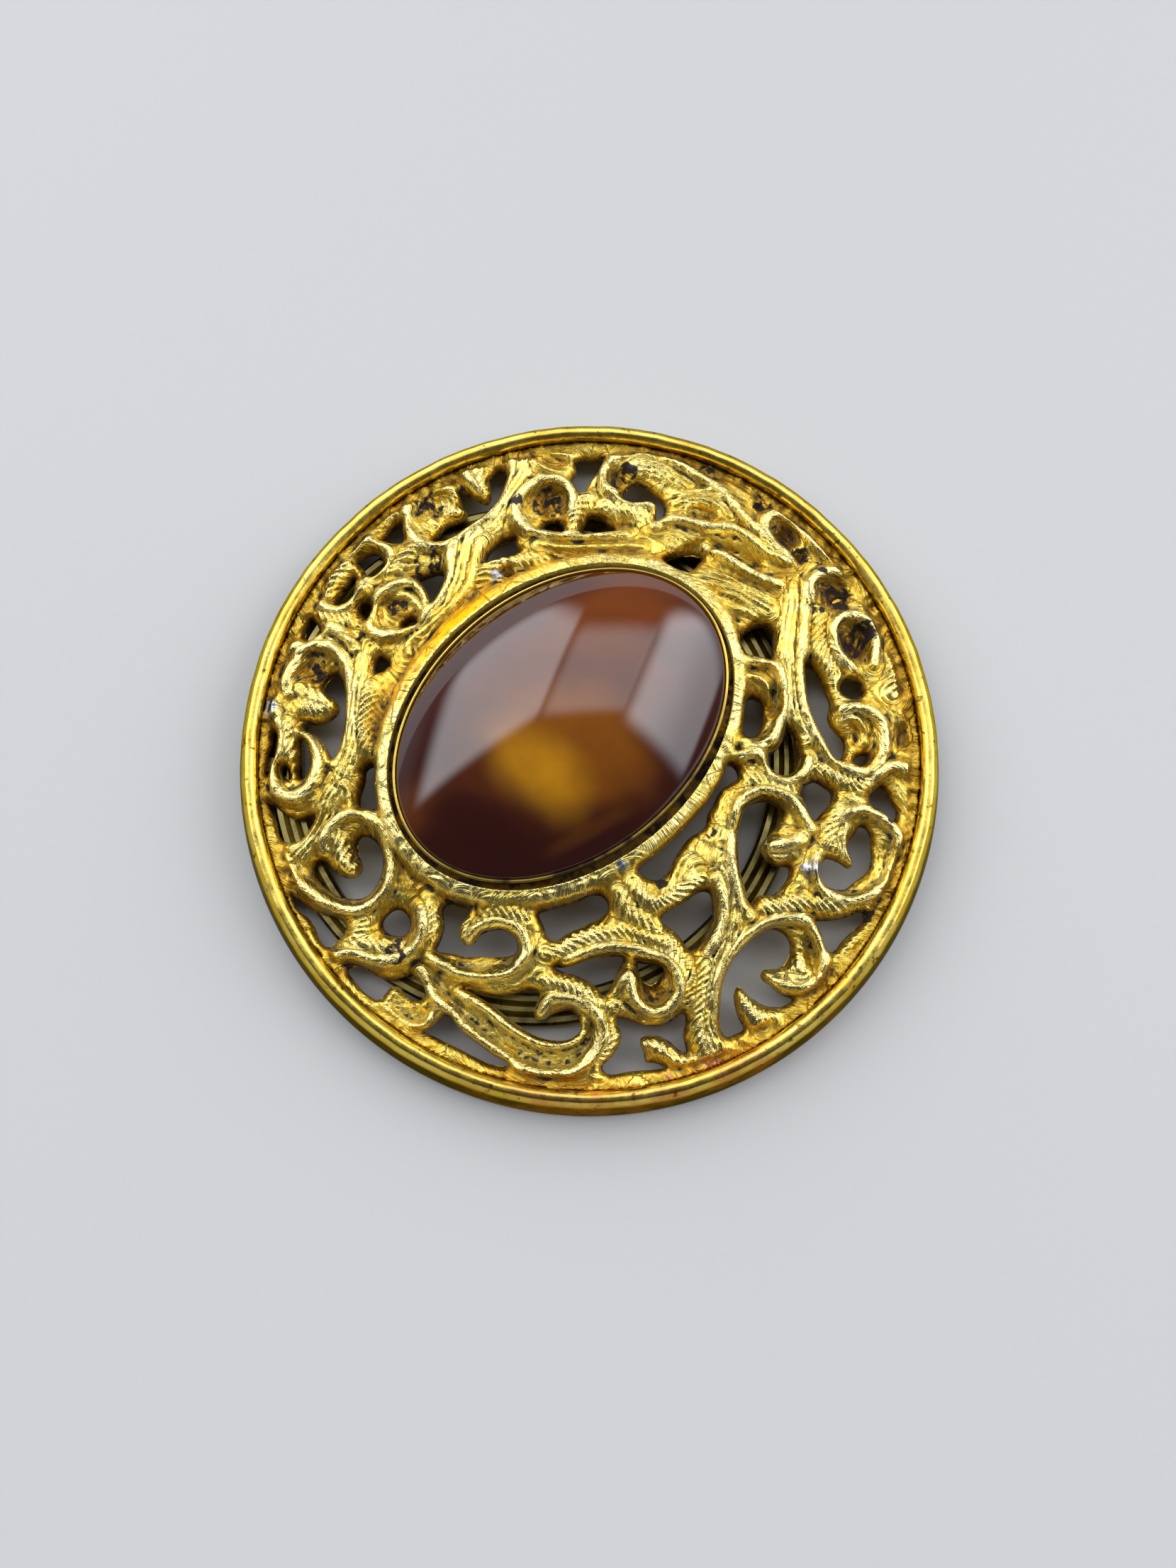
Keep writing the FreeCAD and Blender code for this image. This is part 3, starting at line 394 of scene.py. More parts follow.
    ("crest", -0.5, 21.4, 0, 22, 0.9, 22.4, 2, 22.5, 3.2, 22.4, 4.2, 22, 5.9, 20.9, 7.5, 19.9,
     8.3, 19.2, 9, 18.4, 9.7, 17.6, 10.6, 16.9, 11.5, 16),
    ("crest", 12.9, 14.8, 12.5, 15.3, 11.9, 16, 11.3, 16.6, 11, 17.3, 11.1, 18, 11.6, 18.4,
     12.3, 18.5, 13, 18.2, 13.7, 17.6, 14.3, 16.9, 15, 16.2, 15.9, 15.7, 16.9, 15.4, 17.9, 15.1),
    ("line", 12.2, 19, 13, 18.6, 14, 17.9, 15, 17, 16, 16.2, 17.3, 15.6),
    ("crest", -0.7, 21.6, -0.9, 20.8, -0.8, 19.9, -0.5, 19.1, 0.3, 18.6, 1.2, 18.2, 2.2, 18.2,
     3, 18, 3.2, 17.6),
    ("line", -1, 21.3, -1.5, 20.3, -2, 19.3),
    ("shaft", 1.6, 21.5, 3, 21.2, 4.2, 20.6, 5.4, 19.9),
    ("shaft", 4.4, 18.4, 5.8, 18.9, 7.2, 18.9, 8.4, 17.9),
    ("line", 4, 19.4, 5.2, 19.2, 6.6, 19.7, 7.8, 19.2),
    ("flutes", -0.4, 17.6, 0.8, 17.6, 2, 17.4, 2.8, 17),
    ("crest", -2.9, 17.2, -2.95, 18.2, -3.2, 19, -3.8, 19.4, -4.6, 19.5, -5.3, 19.3, -6, 18.8,
     -6.6, 18.1, -6.9, 17.2, -6.8, 16.4, -6.4, 15.7, -5.8, 15.2, -5, 15, -4, 14.9, -2, 15.1,
     0, 15.3, 1, 15.5),
    ("leaf", -1.9, 18.4, -2.4, 17.6, -2.7, 16.6, -2.9, 15.8),
    ("line", -5, 14.2, -3.5, 14, -2, 14.1, -0.5, 14.3, 1, 14.5, 2.4, 14.6),
    ("shaft", -7, 22.2, -6.8, 21, -6.9, 19.6, -7.6, 18, -8.1, 16.8, -8.8, 15.6),
    ("line", -6.2, 22.3, -5, 22.1, -4, 21.8, -3, 21.7),
    ("line", -6, 20.9, -4.8, 20.5, -3.8, 20.4),
    ("leaf", -8.9, 10.9, -8.4, 11.8, -7.7, 12.5, -6.8, 12.9, -5.5, 12.9, -4.2, 12.8),
    ("wide", 3, 13.2, 5, 12.6, 7.2, 12.4, 9.6, 11.6, 11.6, 10.8),
    ("line", 5, 11.9, 7, 11.5, 9, 10.6, 10.6, 10.4),
    ("crest", 6.9, 15.3, 8, 14.6, 9, 14, 10, 13.5, 11.3, 13, 12.3, 12.9),
]

# rounded grooves: half width, depth, then the x and y of each point on the way
CHANNELS = [
    (0.75, 0.55, -9.2, -16.3, -7.3, -17.9, -6.2, -18.8, -5, -19.6, -3.9, -20.3, -2.8, -20.9,
     -1.6, -21.2, -0.3, -21.3, 0.8, -21, 1.7, -20.3, 2, -19.3, 1.9, -18.4),
    (0.5, 0.6, 5, 14.6, 6.5, 15.2, 8, 15.4, 9.6, 14.8, 11.3, 13.9),
    (0.5, 0.6, 5.2, 17.6, 6.4, 18, 7.8, 17.6),
    (0.45, 0.6, 12.3, 2.8, 12.5, 4, 12.3, 5.5),
    (0.6, 0.6, -11.4, -17.9, -10.9, -19, -10.1, -19.3, -9.2, -18.6),
    (0.5, 0.5, -7.8, -15.4, -6, -15.6, -4.4, -15.4, -3.6, -14.6),
    (0.45, 0.6, 15.6, -11.3, 16.1, -12.2, 16.3, -13.2, 16.2, -14),
]

# round hollows and round knobs: x, y, radius, height (hollows are negative)
SPOTS = [
    (-13, 17, 1.5, -0.7), (-12.3, 19, 0.8, -0.5), (-17.2, 10.1, 0.75, 0.7),
    (-14.6, 8.6, 1, -0.4), (-22.6, 1, 0.8, 0.8), (-19.7, 3.8, 1.2, -0.6),
    (-15.4, -8.6, 0.8, -0.3), (-20, -3.2, 0.8, -0.2), (5.8, -16.3, 1, -0.7),
    (0.1, 20.2, 0.9, -0.8), (-4.5, 17.8, 1.3, -0.9), (12.7, 16.9, 1, -0.8),
    (18, 9.3, 1.3, -0.9), (16.5, 12.9, 1.2, -1), (22, 3, 0.9, -0.7),
    (-4.5, 21.1, 1, -0.5), (-6.9, 11.9, 0.5, -0.5), (15.7, -7.2, 0.6, 0.35),
    (1, 16.4, 0.8, -0.4), (18.3, 2.6, 0.8, -0.5), (21, -5.6, 0.7, -0.2),
    (10.6, 19.2, 0.45, -0.6), (6.7, 21.4, 0.35, -0.5), (13.8, 15.4, 0.5, -0.6),
    (-18.5, 16.2, 0.8, -0.3), (14.6, -13.2, 0.5, -0.4), (19.6, 13.4, 0.7, -0.4),
]

# depths and reaches of the relief: the rounding by the openings, the field between the
# scrolls, how far from a scroll its bark runs, and the widest scroll with a groove beside it
EDGE_ROUND, EDGE_ROUND_REACH = 0.60, 0.45
FIELD_DEPTH = 0.22
NEAR_REACH = 2.2
GROOVED = 0.5
BARK_PITCH = 0.47
LEDGE_START, LEDGE_HEIGHT = 22.3, 2.12
COLLAR_TOP, COLLAR_WIDTH = 5.10, 1.35

dome = CROWN_HEIGHT - CROWN_FALL * (RADIUS / SEAT_RADIUS) ** 2
inside = np.maximum(edge_distance, 0)
field_top = dome - EDGE_ROUND * bell(inside, EDGE_ROUND_REACH, 1) - FIELD_DEPTH
drift_x = GX + 0.25 * grid_noise(1.3, 11)
drift_y = GY + 0.25 * grid_noise(1.3, 12)
relief = field_top + 0.12 * smooth_noise(drift_x, drift_y, 0.9, 1)

# where each point lies by its nearest route: across it, along it, and the bark's slant
near = np.full(GX.shape, 9.0)
near_along = SEAT_RADIUS * np.arctan2(GY, GX)
near_slant = np.full(GX.shape, math.radians(20))
for order, (style, *route) in enumerate(SCROLLS):
    width, rise, across_pitch, along_pitch, slant = STYLES[style]
    window, across, along, length = beside(route, 3 * width + 1.2)
    offset = np.abs(across)
    wobble = smooth_noise(along + 5.3 * order, across * 0.4, 0.8, 3)
    half = width * (1 + 0.16 * wobble)
    taper = smooth_step(-0.2, 0.9, along) * smooth_step(-0.2, 0.9, length - along)
    lift = rise * (0.70 + 0.30 * taper) * bell(offset, half, 3.6)
    if across_pitch:
        phase = (along + 1.05 * across) / across_pitch + 0.35 * wobble
        lift *= 1 - 0.50 * wave(phase) ** 1.5
    if along_pitch:
        phase = across / along_pitch + 0.5 * smooth_noise(along, across, 1.6, 4)
        lift *= 1 - 0.40 * wave(phase) ** 1.4
    relief[window] = smooth_max(relief[window], field_top[window] + lift)
    if width < GROOVED:
        relief[window] -= 0.16 * rise * bell(offset - 1.6 * half, 0.18)
    closer = (offset < near[window]) & (offset < NEAR_REACH)
    for grid, value in ((near, offset), (near_along, along + 7.7 * order),
                        (near_slant, math.radians(slant))):
        grid[window] = np.where(closer, value, grid[window])

# bark: grooves that run slantwise off the routes, deeper away from the crests
bark_run = near_along * np.cos(near_slant) + near * np.sin(near_slant)
bark_side = near * np.cos(near_slant) - near_along * np.sin(near_slant)
flank = smooth_step(0.12, 0.50, near)
bark_warp = (0.40 * smooth_noise(bark_run * 0.5, bark_side * 0.4, 0.8, 21)
             + 0.30 * grid_noise(1.1, 23))
bark_depth = 0.55 + 0.45 * smooth_noise(bark_run * 0.4, bark_side, 0.5, 24)
relief -= (0.02 + 0.15 * flank) * bark_depth * wave(bark_side / BARK_PITCH + bark_warp) ** 2
cracks = smooth_noise(bark_run * 0.30, bark_side, 0.36, 22)
relief -= (0.01 + 0.10 * flank) * bell(cracks, 0.15)
relief += 0.030 * smooth_noise(drift_x, drift_y, 0.27, 2)

# grooves, also marked for a painted sheen in the gold colour
groove_sheen = np.zeros(GX.shape)
for width, depth, *route in CHANNELS:
    window, across, along, length = beside(route, 3 * width)
    taper = smooth_step(0, 0.8, along) * smooth_step(0, 0.8, length - along)
    groove = taper * bell(across, width, 4)
    relief[window] -= depth * groove
    groove_sheen[window] = np.maximum(groove_sheen[window], groove)

for x, y, radius, height in SPOTS:
    relief += height * bell(np.hypot(GX - x, GY - y), radius, 3)

# border ledge inside the rim, uneven
ledge_start = LEDGE_START + 0.35 * grid_noise(2.2, 6)
ledge = smooth_step(ledge_start - 0.25, ledge_start + 0.25, RADIUS)
turn = np.arctan2(GY, GX) * SEAT_RADIUS
ledge_height = (LEDGE_HEIGHT + 0.14 * smooth_noise(turn, RADIUS * 0.3, 0.55, 7)
                + 0.05 * grid_noise(0.3, 8))
relief = relief * (1 - ledge) + ledge_height * ledge

# collar round the oval setting, with a thin bead along its inner edge
collar = oval_distance(GX, GY, COLLAR_INNER)
collar_top = (COLLAR_TOP + 0.10 * bell(collar, 0.14) - 0.30 * smooth_step(0.35, 1.0, collar)
              + 0.06 * grid_noise(0.25, 9) + 0.05 * grid_noise(0.7, 10))
collar_edge = smooth_step(COLLAR_WIDTH, 0.72, collar + 0.08 * grid_noise(0.9, 13))
relief = np.where(collar < 1.6, relief * (1 - collar_edge) + collar_top * collar_edge, relief)

# the edges of the openings are rounded over, and no hollow goes through
relief -= 0.45 * bell(inside, 0.16, 1)
relief = np.maximum(relief, dome - 1.5)

BROAD, FINE = 8, 2
height_above = relief - blur(relief, BROAD)
fine_height = relief - blur(relief, FINE)


def spots_mask(spots, seed):
    """1 at the middle of each spot (x, y, radius), fading out unevenly."""
    mask = np.zeros(GX.shape)
    ragged = 0.35 * grid_noise(0.35, seed)
    for x, y, radius in spots:
        away = np.hypot(GX - x, GY - y) / radius + ragged
        mask = np.maximum(mask, 1 - smooth_step(0.55, 1.0, away))
    return mask


TARNISH = [(6.7, 21.5, 0.7), (10.7, 19.3, 0.9), (13.7, 15.4, 1), (15.2, 11.9, 1),
           (16.6, 12.8, 1.4), (18.5, 10.2, 1.1), (0.9, 20.9, 0.9), (-4.8, 17.7, 1.2),
           (-13.3, 16.9, 1.2), (-19.6, 3.7, 1), (17.8, 8.9, 0.9), (-14.4, 8.7, 0.8),
           (19.9, -9.6, 0.7), (15.4, 14.6, 0.8), (-11.6, -15.2, 0.9), (21.3, -2.9, 0.6),
           (5.6, -9, 0.6), (-12.8, 12.2, 1.3), (-6.9, 17.4, 0.6), (8.6, -5.4, 0.5)]
SILVER = [(15.7, -7.1, 0.75), (-22.6, 1, 0.7), (-7.7, 11.6, 0.5), (3, -8.3, 0.5)]
COPPER = [(10.1, -20.6, 0.8), (7.5, -22, 0.7)]
tarnish = spots_mask(TARNISH, 31)
silver = spots_mask(SILVER, 32)
copper = spots_mask(COPPER, 33)
OCHRE_SIDE = math.radians(140)
collar_side = np.arctan2(GY - OVAL_Y, GX - OVAL_X)
ochre = (bell(collar_side - OCHRE_SIDE, 0.75)
         * smooth_step(COLLAR_WIDTH, 1.0, collar) * smooth_step(0.10, 0.25, collar))


# ---- sheets and walls

def sample(field, x, y):
    """The field at a point between grid points."""
    a, b = (x + HALF) / PITCH, (y + HALF) / PITCH
    i, j = min(int(a), CELLS - 1), min(int(b), CELLS - 1)
    a, b = a - i, b - j
    return ((field[i, j] * (1 - a) + field[i + 1, j] * a) * (1 - b)
            + (field[i, j + 1] * (1 - a) + field[i + 1, j + 1] * a) * b)


CORNERS = ((0, 0), (1, 0), (1, 1), (0, 1))
SIDES = ((0, 0, 0), (1, 0, 1), (0, 1, 0), (0, 0, 1))


def cut_cells(inside_mask):
    """Faces of the cells that the edge of the mask runs through, and the edge's segments."""
    total = (inside_mask[:-1, :-1].astype(int) + inside_mask[1:, :-1]
             + inside_mask[1:, 1:] + inside_mask[:-1, 1:])
    faces, segments = [], []
    for i, j in zip(*np.nonzero((total > 0) & (total < 4))):
        i, j, loop = int(i), int(j), []
        for corner in range(4):
            di, dj = CORNERS[corner]
            ni, nj = CORNERS[(corner + 1) % 4]
            here = inside_mask[i + di, j + dj]
            if here:
                loop.append((i + di, j + dj))
            if here != inside_mask[i + ni, j + nj]:
                si, sj, direction = SIDES[corner]
                loop.append((i + si, j + sj, direction))
        faces.append(loop)
        for k, key in enumerate(loop):
            after = loop[(k + 1) % len(loop)]
            if len(key) == 3 and len(after) == 3:
                segments.append((key, after))
    return faces, segments, total == 4


def whole_cells(full, largest):
    """Square cells of the mask, joined into larger squares away from its edge."""
    left = full.copy()
    squares = []
    size = largest
    while size > 1:
        for i in range(0, CELLS, size):
            for j in range(0, CELLS, size):
                if left[i:i + size, j:j + size].all():
                    squares.append((i, j, size))
                    left[i:i + size, j:j + size] = False
        size //= 2
    squares += [(int(i), int(j), 1) for i, j in zip(*np.nonzero(left))]
    used = set()
    for i, j, size in squares:
        used.update(((i, j), (i + size, j), (i + size, j + size), (i, j + size)))
    faces = []
    for i, j, size in squares:
        ring = ([(i + k, j) for k in range(size)] + [(i + size, j + k) for k in range(size)]
                + [(i + size - k, j + size) for k in range(size)]
                + [(i, j + size - k) for k in range(size)])
        faces.append([key for key in ring if key in used])
    return faces


class Sheets:
    """Collects corner points on named levels, and the faces between them."""

    def __init__(self):
        self.points, self.index, self.faces = [], {}, []

    def corner(self, key, level, height):
        name = (key, level)
        if name not in self.index:
            x, y = (axis[key[0]], axis[key[1]]) if len(key) == 2 else crossings[key]
            self.index[name] = len(self.points)
            self.points.append((x * MM, y * MM, height(x, y) * MM))
        return self.index[name]


def under_height(x, y):
    return UNDER_HEIGHT - UNDER_FALL * (x * x + y * y) / SEAT_RADIUS ** 2


def relief_height(x, y):
    return sample(relief, x, y)


def floor_height(x, y):
    return SEAT_FLOOR


sheets = Sheets()
top_faces, top_edge, top_full = cut_cells(solid & ~oval)
floor_faces, floor_edge, floor_full = cut_cells(solid & oval)
under_faces, under_edge, under_full = cut_cells(solid)
top_faces += whole_cells(top_full, 1)
floor_faces += whole_cells(floor_full, 4)
under_faces += whole_cells(under_full, BLOCK)

TOP, FLOOR, UNDER = ("top", relief_height), ("floor", floor_height), ("under", under_height)
for loops, level, turn in ((top_faces, TOP, 1), (floor_faces, FLOOR, 1), (under_faces, UNDER, -1)):
    sheets.faces += [[sheets.corner(k, *level) for k in loop[::turn]] for loop in loops]

floor_segments = {frozenset(pair) for pair in floor_edge}
under_segments = {frozenset(pair) for pair in under_edge}
WALLS = ((top_edge, TOP, UNDER, under_segments), (top_edge, TOP, FLOOR, floor_segments),
         (floor_edge, FLOOR, UNDER, under_segments))
for edge, upper, lower, shared in WALLS:
    for first, second in edge:
        if frozenset((first, second)) in shared:
            sheets.faces.append([sheets.corner(second, *upper), sheets.corner(first, *upper),
                                 sheets.corner(first, *lower), sheets.corner(second, *lower)])


def new_object(name, points, faces, material, body="front"):
    mesh = bpy.data.meshes.new(name)
    mesh.from_pydata(points, [], faces)
    mesh.validate()
    mesh.shade_smooth()
    mesh.materials.append(material)
    obj = bpy.data.objects.new(name, mesh)
    bpy.context.scene.collection.objects.link(obj)
    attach(obj, body)
    return obj


def mark(obj, name, values):
    layer = obj.data.attributes.new(name, "FLOAT", "POINT")
    layer.data.foreach_set("value", np.asarray(values, dtype=np.float32))


# ---- materials

class Nodes:
    """A node tree, with short calls for the nodes used here."""

    def __init__(self, tree):
        self.tree = tree

    def feed(self, socket, value):
        if isinstance(value, bpy.types.NodeSocket):
            self.tree.links.new(value, socket)
        else:
            socket.default_value = value

    def node(self, kind, settings=None, *values, **inputs):
        made = self.tree.nodes.new(kind)
        for key, value in (settings or {}).items():
            setattr(made, key, value)
        for k, value in enumerate(values):
            self.feed(made.inputs[k], value)
        for key, value in inputs.items():
            self.feed(made.inputs[key.replace("_", " ")], value)
        return made

    def split(self, vector):
        return self.node("ShaderNodeSeparateXYZ", Vector=vector).outputs

    def math(self, operation, *values):
        return self.node("ShaderNodeMath", {"operation": operation}, *values).outputs[0]

    def plus(self, a, b):
        return self.math("ADD", a, b)

    def less(self, a, b):
        return self.math("SUBTRACT", a, b)

    def times(self, a, b):
        return self.math("MULTIPLY", a, b)

    def larger(self, a, b):
        return self.math("MAXIMUM", a, b)

    def range(self, value, low, high, to_low=0.0, to_high=1.0, kind="LINEAR"):
        return self.node("ShaderNodeMapRange", {"interpolation_type": kind},
                         value, low, high, to_low, to_high).outputs[0]


class Material(Nodes):
    """A material and its shader's sockets."""

    def __init__(self, name):
        self.material = bpy.data.materials.new(name)
        self.material.use_nodes = True
        super().__init__(self.material.node_tree)
        self.shader = self.tree.nodes["Principled BSDF"]

    def set(self, **inputs):
        for key, value in inputs.items():
            self.feed(self.shader.inputs[key.replace("_", " ")], value)

    def place(self):
        return self.node("ShaderNodeTexCoord").outputs["Object"]

    def noise(self, scale, detail=3.0, roughness=0.55, vector=None):
        return self.node("ShaderNodeTexNoise", Vector=vector or self.place(), Scale=scale,
                         Detail=detail, Roughness=roughness).outputs["Fac"]

    def attribute(self, name):
        return self.node("ShaderNodeAttribute", {"attribute_name": name}).outputs["Fac"]

    def ramp(self, value, stops, kind="EASE"):
        made = self.node("ShaderNodeValToRGB", Fac=value)
        elements = made.color_ramp.elements
        made.color_ramp.interpolation = kind
        for k, (at, colour) in enumerate(stops):
            item = elements[k] if k < 2 else elements.new(at)
            item.position = at
            item.color = (*colour, 1.0)
        return made.outputs["Color"]

    def mix(self, factor, *colours):
        made = self.node("ShaderNodeMix", {"data_type": "RGBA"}, factor)
        for socket, colour in zip((made.inputs[6], made.inputs[7]), colours):
            self.feed(socket, (*colour, 1.0) if isinstance(colour, tuple) else colour)
        return made.outputs[2]

    def bump(self, height, distance, strength, **normal):
        return self.node("ShaderNodeBump", Strength=strength, Distance=distance, Height=height,
                         **normal).outputs["Normal"]


# gold tones from the painted shade of the recesses up to the painted highlight of the crests
GOLD_SHADE_TO_HIGHLIGHT = [(0.0, (0.16, 0.068, 0.007)), (0.26, (0.56, 0.32, 0.034)),
              (0.44, (0.78, 0.53, 0.070)), (0.60, (0.86, 0.66, 0.145)),
              (0.90, (0.90, 0.755, 0.29))]
WORN_TONES = {"ochre": (0.86, 0.44, 0.006), "copper": (0.72, 0.36, 0.13),
              "silver": (0.56, 0.56, 0.58)}
DIRT = (0.022, 0.009, 0.003)
GRAIN_DEPTH, STREAK_DEPTH = 0.00004, 0.00018


def cast_gold():
    """Gold painted brighter on the crests and darker in the recesses by how far each point stands
    out (painted highlight and painted shade), with dirt in the hollows and worn spots.
    """
    m = Material("cast_gold")
    coarse, grains = m.noise(1100, 4), m.noise(5200, 2, 0.7)
    level = m.plus(m.attribute("crest"), m.range(coarse, 0.3, 0.7, -0.13, 0.13))
    # the ramp turns the crest level into painted highlight on the crests and painted shade in the
    # recesses
    colour = m.ramp(level, GOLD_SHADE_TO_HIGHLIGHT, "LINEAR")
    for name, tone in WORN_TONES.items():
        colour = m.mix(m.attribute(name), colour, tone)
    sunk = m.range(m.attribute("fine"), 0.46, 0.30)
    specks = m.range(m.noise(1500, 3, 0.6), 0.60, 0.70)
    dirt = m.times(m.range(m.attribute("tarnish"), 0.15, 0.55),
                   m.range(m.noise(1300), 0.46, 0.52))
    dirt = m.larger(dirt, m.times(sunk, m.range(coarse, 0.40, 0.60)))
    dirt = m.larger(dirt, m.times(specks, m.range(level, 0.50, 0.25)))
    place = m.node("ShaderNodeCombineXYZ", X=m.times(m.attribute("run"), 0.22),
                   Y=m.attribute("side")).outputs[0]
    streaks = m.noise(5.5, 3, 0.6, place)
    fine = m.bump(grains, GRAIN_DEPTH, 0.6)
    m.set(Base_Color=m.mix(dirt, colour, DIRT), Metallic=m.range(dirt, 0.0, 1.0, 1.0, 0.0),
          Normal=m.bump(streaks, STREAK_DEPTH, 0.80, Normal=fine))
    rough = m.plus(m.range(level, 0.25, 0.8, 0.40, 0.22), m.range(grains, 0.3, 0.7, -0.04, 0.07))
    rough = m.plus(rough, m.times(dirt, 0.45))
    m.set(Roughness=m.plus(rough, m.times(m.attribute("ochre"), 0.12)))
    return m.material


def brushed_metal(name, light, dark, scratch_scale, roughness=0.30, pits=0.5):
    """Scratched metal, worn from the light tone to the dark one, with pits."""
    m = Material(name)
    streaks = m.noise(scratch_scale)
    colour = m.mix(m.range(m.noise(260, 4), 0.40, 0.66), light, dark)
    spots = m.times(m.range(m.noise(1500), 0.60, 0.72), pits)
    colour = m.mix(spots, colour, tuple(0.25 * c for c in dark))
    m.set(Base_Color=colour, Metallic=1.0, Normal=m.bump(streaks, GRAIN_DEPTH, 0.35))
    m.set(Roughness=m.range(streaks, 0.3, 0.7, roughness - 0.07, roughness + 0.12))
    return m.material


# heights and plan positions below are in metres, as the shader sees them
WALL_TOP, WALL_SHADE_FULL = 0.00262, 0.00215
WORN_START, WORN_FULL = 0.0195, 0.0240
TROUGH_TOP, TROUGH_DARK = 0.00545, 0.00515


def rim_metal():
    """Gold plating: bright on the bead, dark olive down the outer wall as painted shade and
    painted reflection of dark surroundings, worn at the south.
    """
    m = Material("rim_gold")
    x, y, z = m.split(m.place())
    streaks, patches = m.noise(1500), m.noise(300, 4)
    colour = m.mix(m.range(patches, 0.42, 0.62), (0.90, 0.68, 0.15), (0.74, 0.50, 0.075))
    # below the bead the outer wall turns dark olive: painted shade and painted reflection of dark
    # surroundings
    wall = m.range(z, WALL_TOP, WALL_SHADE_FULL)
    colour = m.mix(wall, colour, m.mix(patches, (0.12, 0.088, 0.020), (0.21, 0.155, 0.036)))
    worn = m.times(m.range(m.less(m.times(x, 0.35), y), WORN_START, WORN_FULL),
                   m.range(m.noise(420, 4), 0.42, 0.58))
    colour = m.mix(m.times(worn, 0.7), colour, (0.62, 0.27, 0.085))
    specks = m.times(m.range(m.noise(1700), 0.62, 0.70), 0.8)
    colour = m.mix(specks, colour, (0.05, 0.025, 0.008))
    m.set(Base_Color=colour, Metallic=1.0, Normal=m.bump(streaks, 0.00005, 0.4),
          Specular_Tint=(0.42, 0.34, 0.14, 1.0),
          Roughness=m.plus(m.range(streaks, 0.3, 0.7, 0.20, 0.34), m.times(wall, 0.08)))
    return m.material


def cup_metal():
    """Bright rolled lip, painted nearly black down in the trough round it and darker on the
    south-east side: painted shade.
    """
    m = Material("cup_gold")
    x, y, z = m.split(m.place())
    patches = m.noise(500, 4)
    colour = m.mix(patches, (0.78, 0.56, 0.12), (0.46, 0.30, 0.05))
    # low in the trough and down the inner wall the colour goes nearly black: painted shade
    sunk = m.range(m.plus(z, m.range(patches, 0.3, 0.7, -0.00012, 0.00012)),
                   TROUGH_TOP, TROUGH_DARK)
    # darker towards the south-east side: painted shade
    shaded_south_east = m.times(m.range(m.less(m.times(x, 0.55), y), 0.0, 0.0050),
                    m.range(patches, 0.62, 0.40, 0.35, 1.0))
    sunk = m.larger(sunk, shaded_south_east)
    m.set(Base_Color=m.mix(sunk, colour, (0.045, 0.026, 0.008)),
          Metallic=m.range(sunk, 0.0, 1.0, 1.0, 0.6))
    m.set(Roughness=m.range(sunk, 0.0, 1.0, 0.24, 0.55),
          Normal=m.bump(m.noise(1800), GRAIN_DEPTH, 0.4))
    return m.material


# colour zones of the stone, laid over each other in turn: x, y, turn in degrees, half
# length, half width, share of it that is full, and the colour
STONE_BASE = (0.040, 0.0036, 0.0005)
STONE_ZONES_AND_GLOW = [
    (-1.8, 1.6, 47, 11.8, 8.4, 0.30, (0.115, 0.024, 0.0008)),
    (1.6, 8.6, 20, 8.0, 5.0, 0.20, (0.150, 0.032, 0.0008)),
    (-10.6, -5.6, 60, 3.6, 2.6, 0.0, (0.130, 0.030, 0.002)),
    (-0.6, -1.0, -16, 7.6, 4.8, 0.25, (0.230, 0.066, 0.0010)),
    # the bright honey patch low in the middle is painted light: the glow of light passing through
    # the stone
    (-3.3, -2.8, -36, 5.9, 3.3, 0.05, (0.540, 0.228, 0.0030)),
]
VEIL = (160, 0.16)


def agate():
    m = Material("banded_agate")

    def blob(x, y, angle, long_half, short_half, full, wander=VEIL):
        """1 inside an oval on the plan, 0 outside it, with a wandering soft edge."""
        turned = m.node("ShaderNodeMapping", {"vector_type": "TEXTURE"}, Vector=m.place(),
                        Location=(x * MM, y * MM, 0), Rotation=(0, 0, math.radians(angle)),
                        Scale=(long_half * MM, short_half * MM, 1000))
        away = m.node("ShaderNodeVectorMath", {"operation": "LENGTH"}, turned.outputs[0])
        ragged = m.range(m.noise(wander[0], 2), 0.25, 0.75, -wander[1], wander[1])
        return m.range(m.plus(away.outputs["Value"], ragged), full, 1.0, 1.0, 0.0, "SMOOTHERSTEP")

    colour = STONE_BASE
    for *oval, tone in STONE_ZONES_AND_GLOW:
        colour = m.mix(blob(*oval), colour, tone)
    colour = m.mix(blob(-6.6, -7.0, -26, 5.4, 2.6, 0.30, (220, 0.22)), colour,
                   (0.036, 0.0026, 0.0004))
    colour = m.mix(m.times(blob(0.6, -6.4, 34, 4.4, 0.8, 0.1), 0.4), colour, (0.20, 0.06, 0.003))
    cloud = m.range(m.noise(420, 4), 0.35, 0.70)
    colour = m.mix(m.times(cloud, 0.22), colour, (0.035, 0.008, 0.002))
    m.set(Base_Color=colour, Roughness=0.06, IOR=1.75)
    return m.material


gold = cast_gold()
rim_gold = rim_metal()
cup_gold = cup_metal()
# the brass tones are kept dark olive: painted shade of the clip lying under the brooch
shaded_brass = brushed_metal("clip_brass", (0.40, 0.33, 0.115), (0.16, 0.12, 0.040), 1100)
steel = brushed_metal("pin_steel", (0.62, 0.60, 0.56), (0.34, 0.30, 0.25), 2200)
agate_stone = agate()

# ---- pieces

openwork = new_object("openwork_relief", sheets.points, sheets.faces, gold)
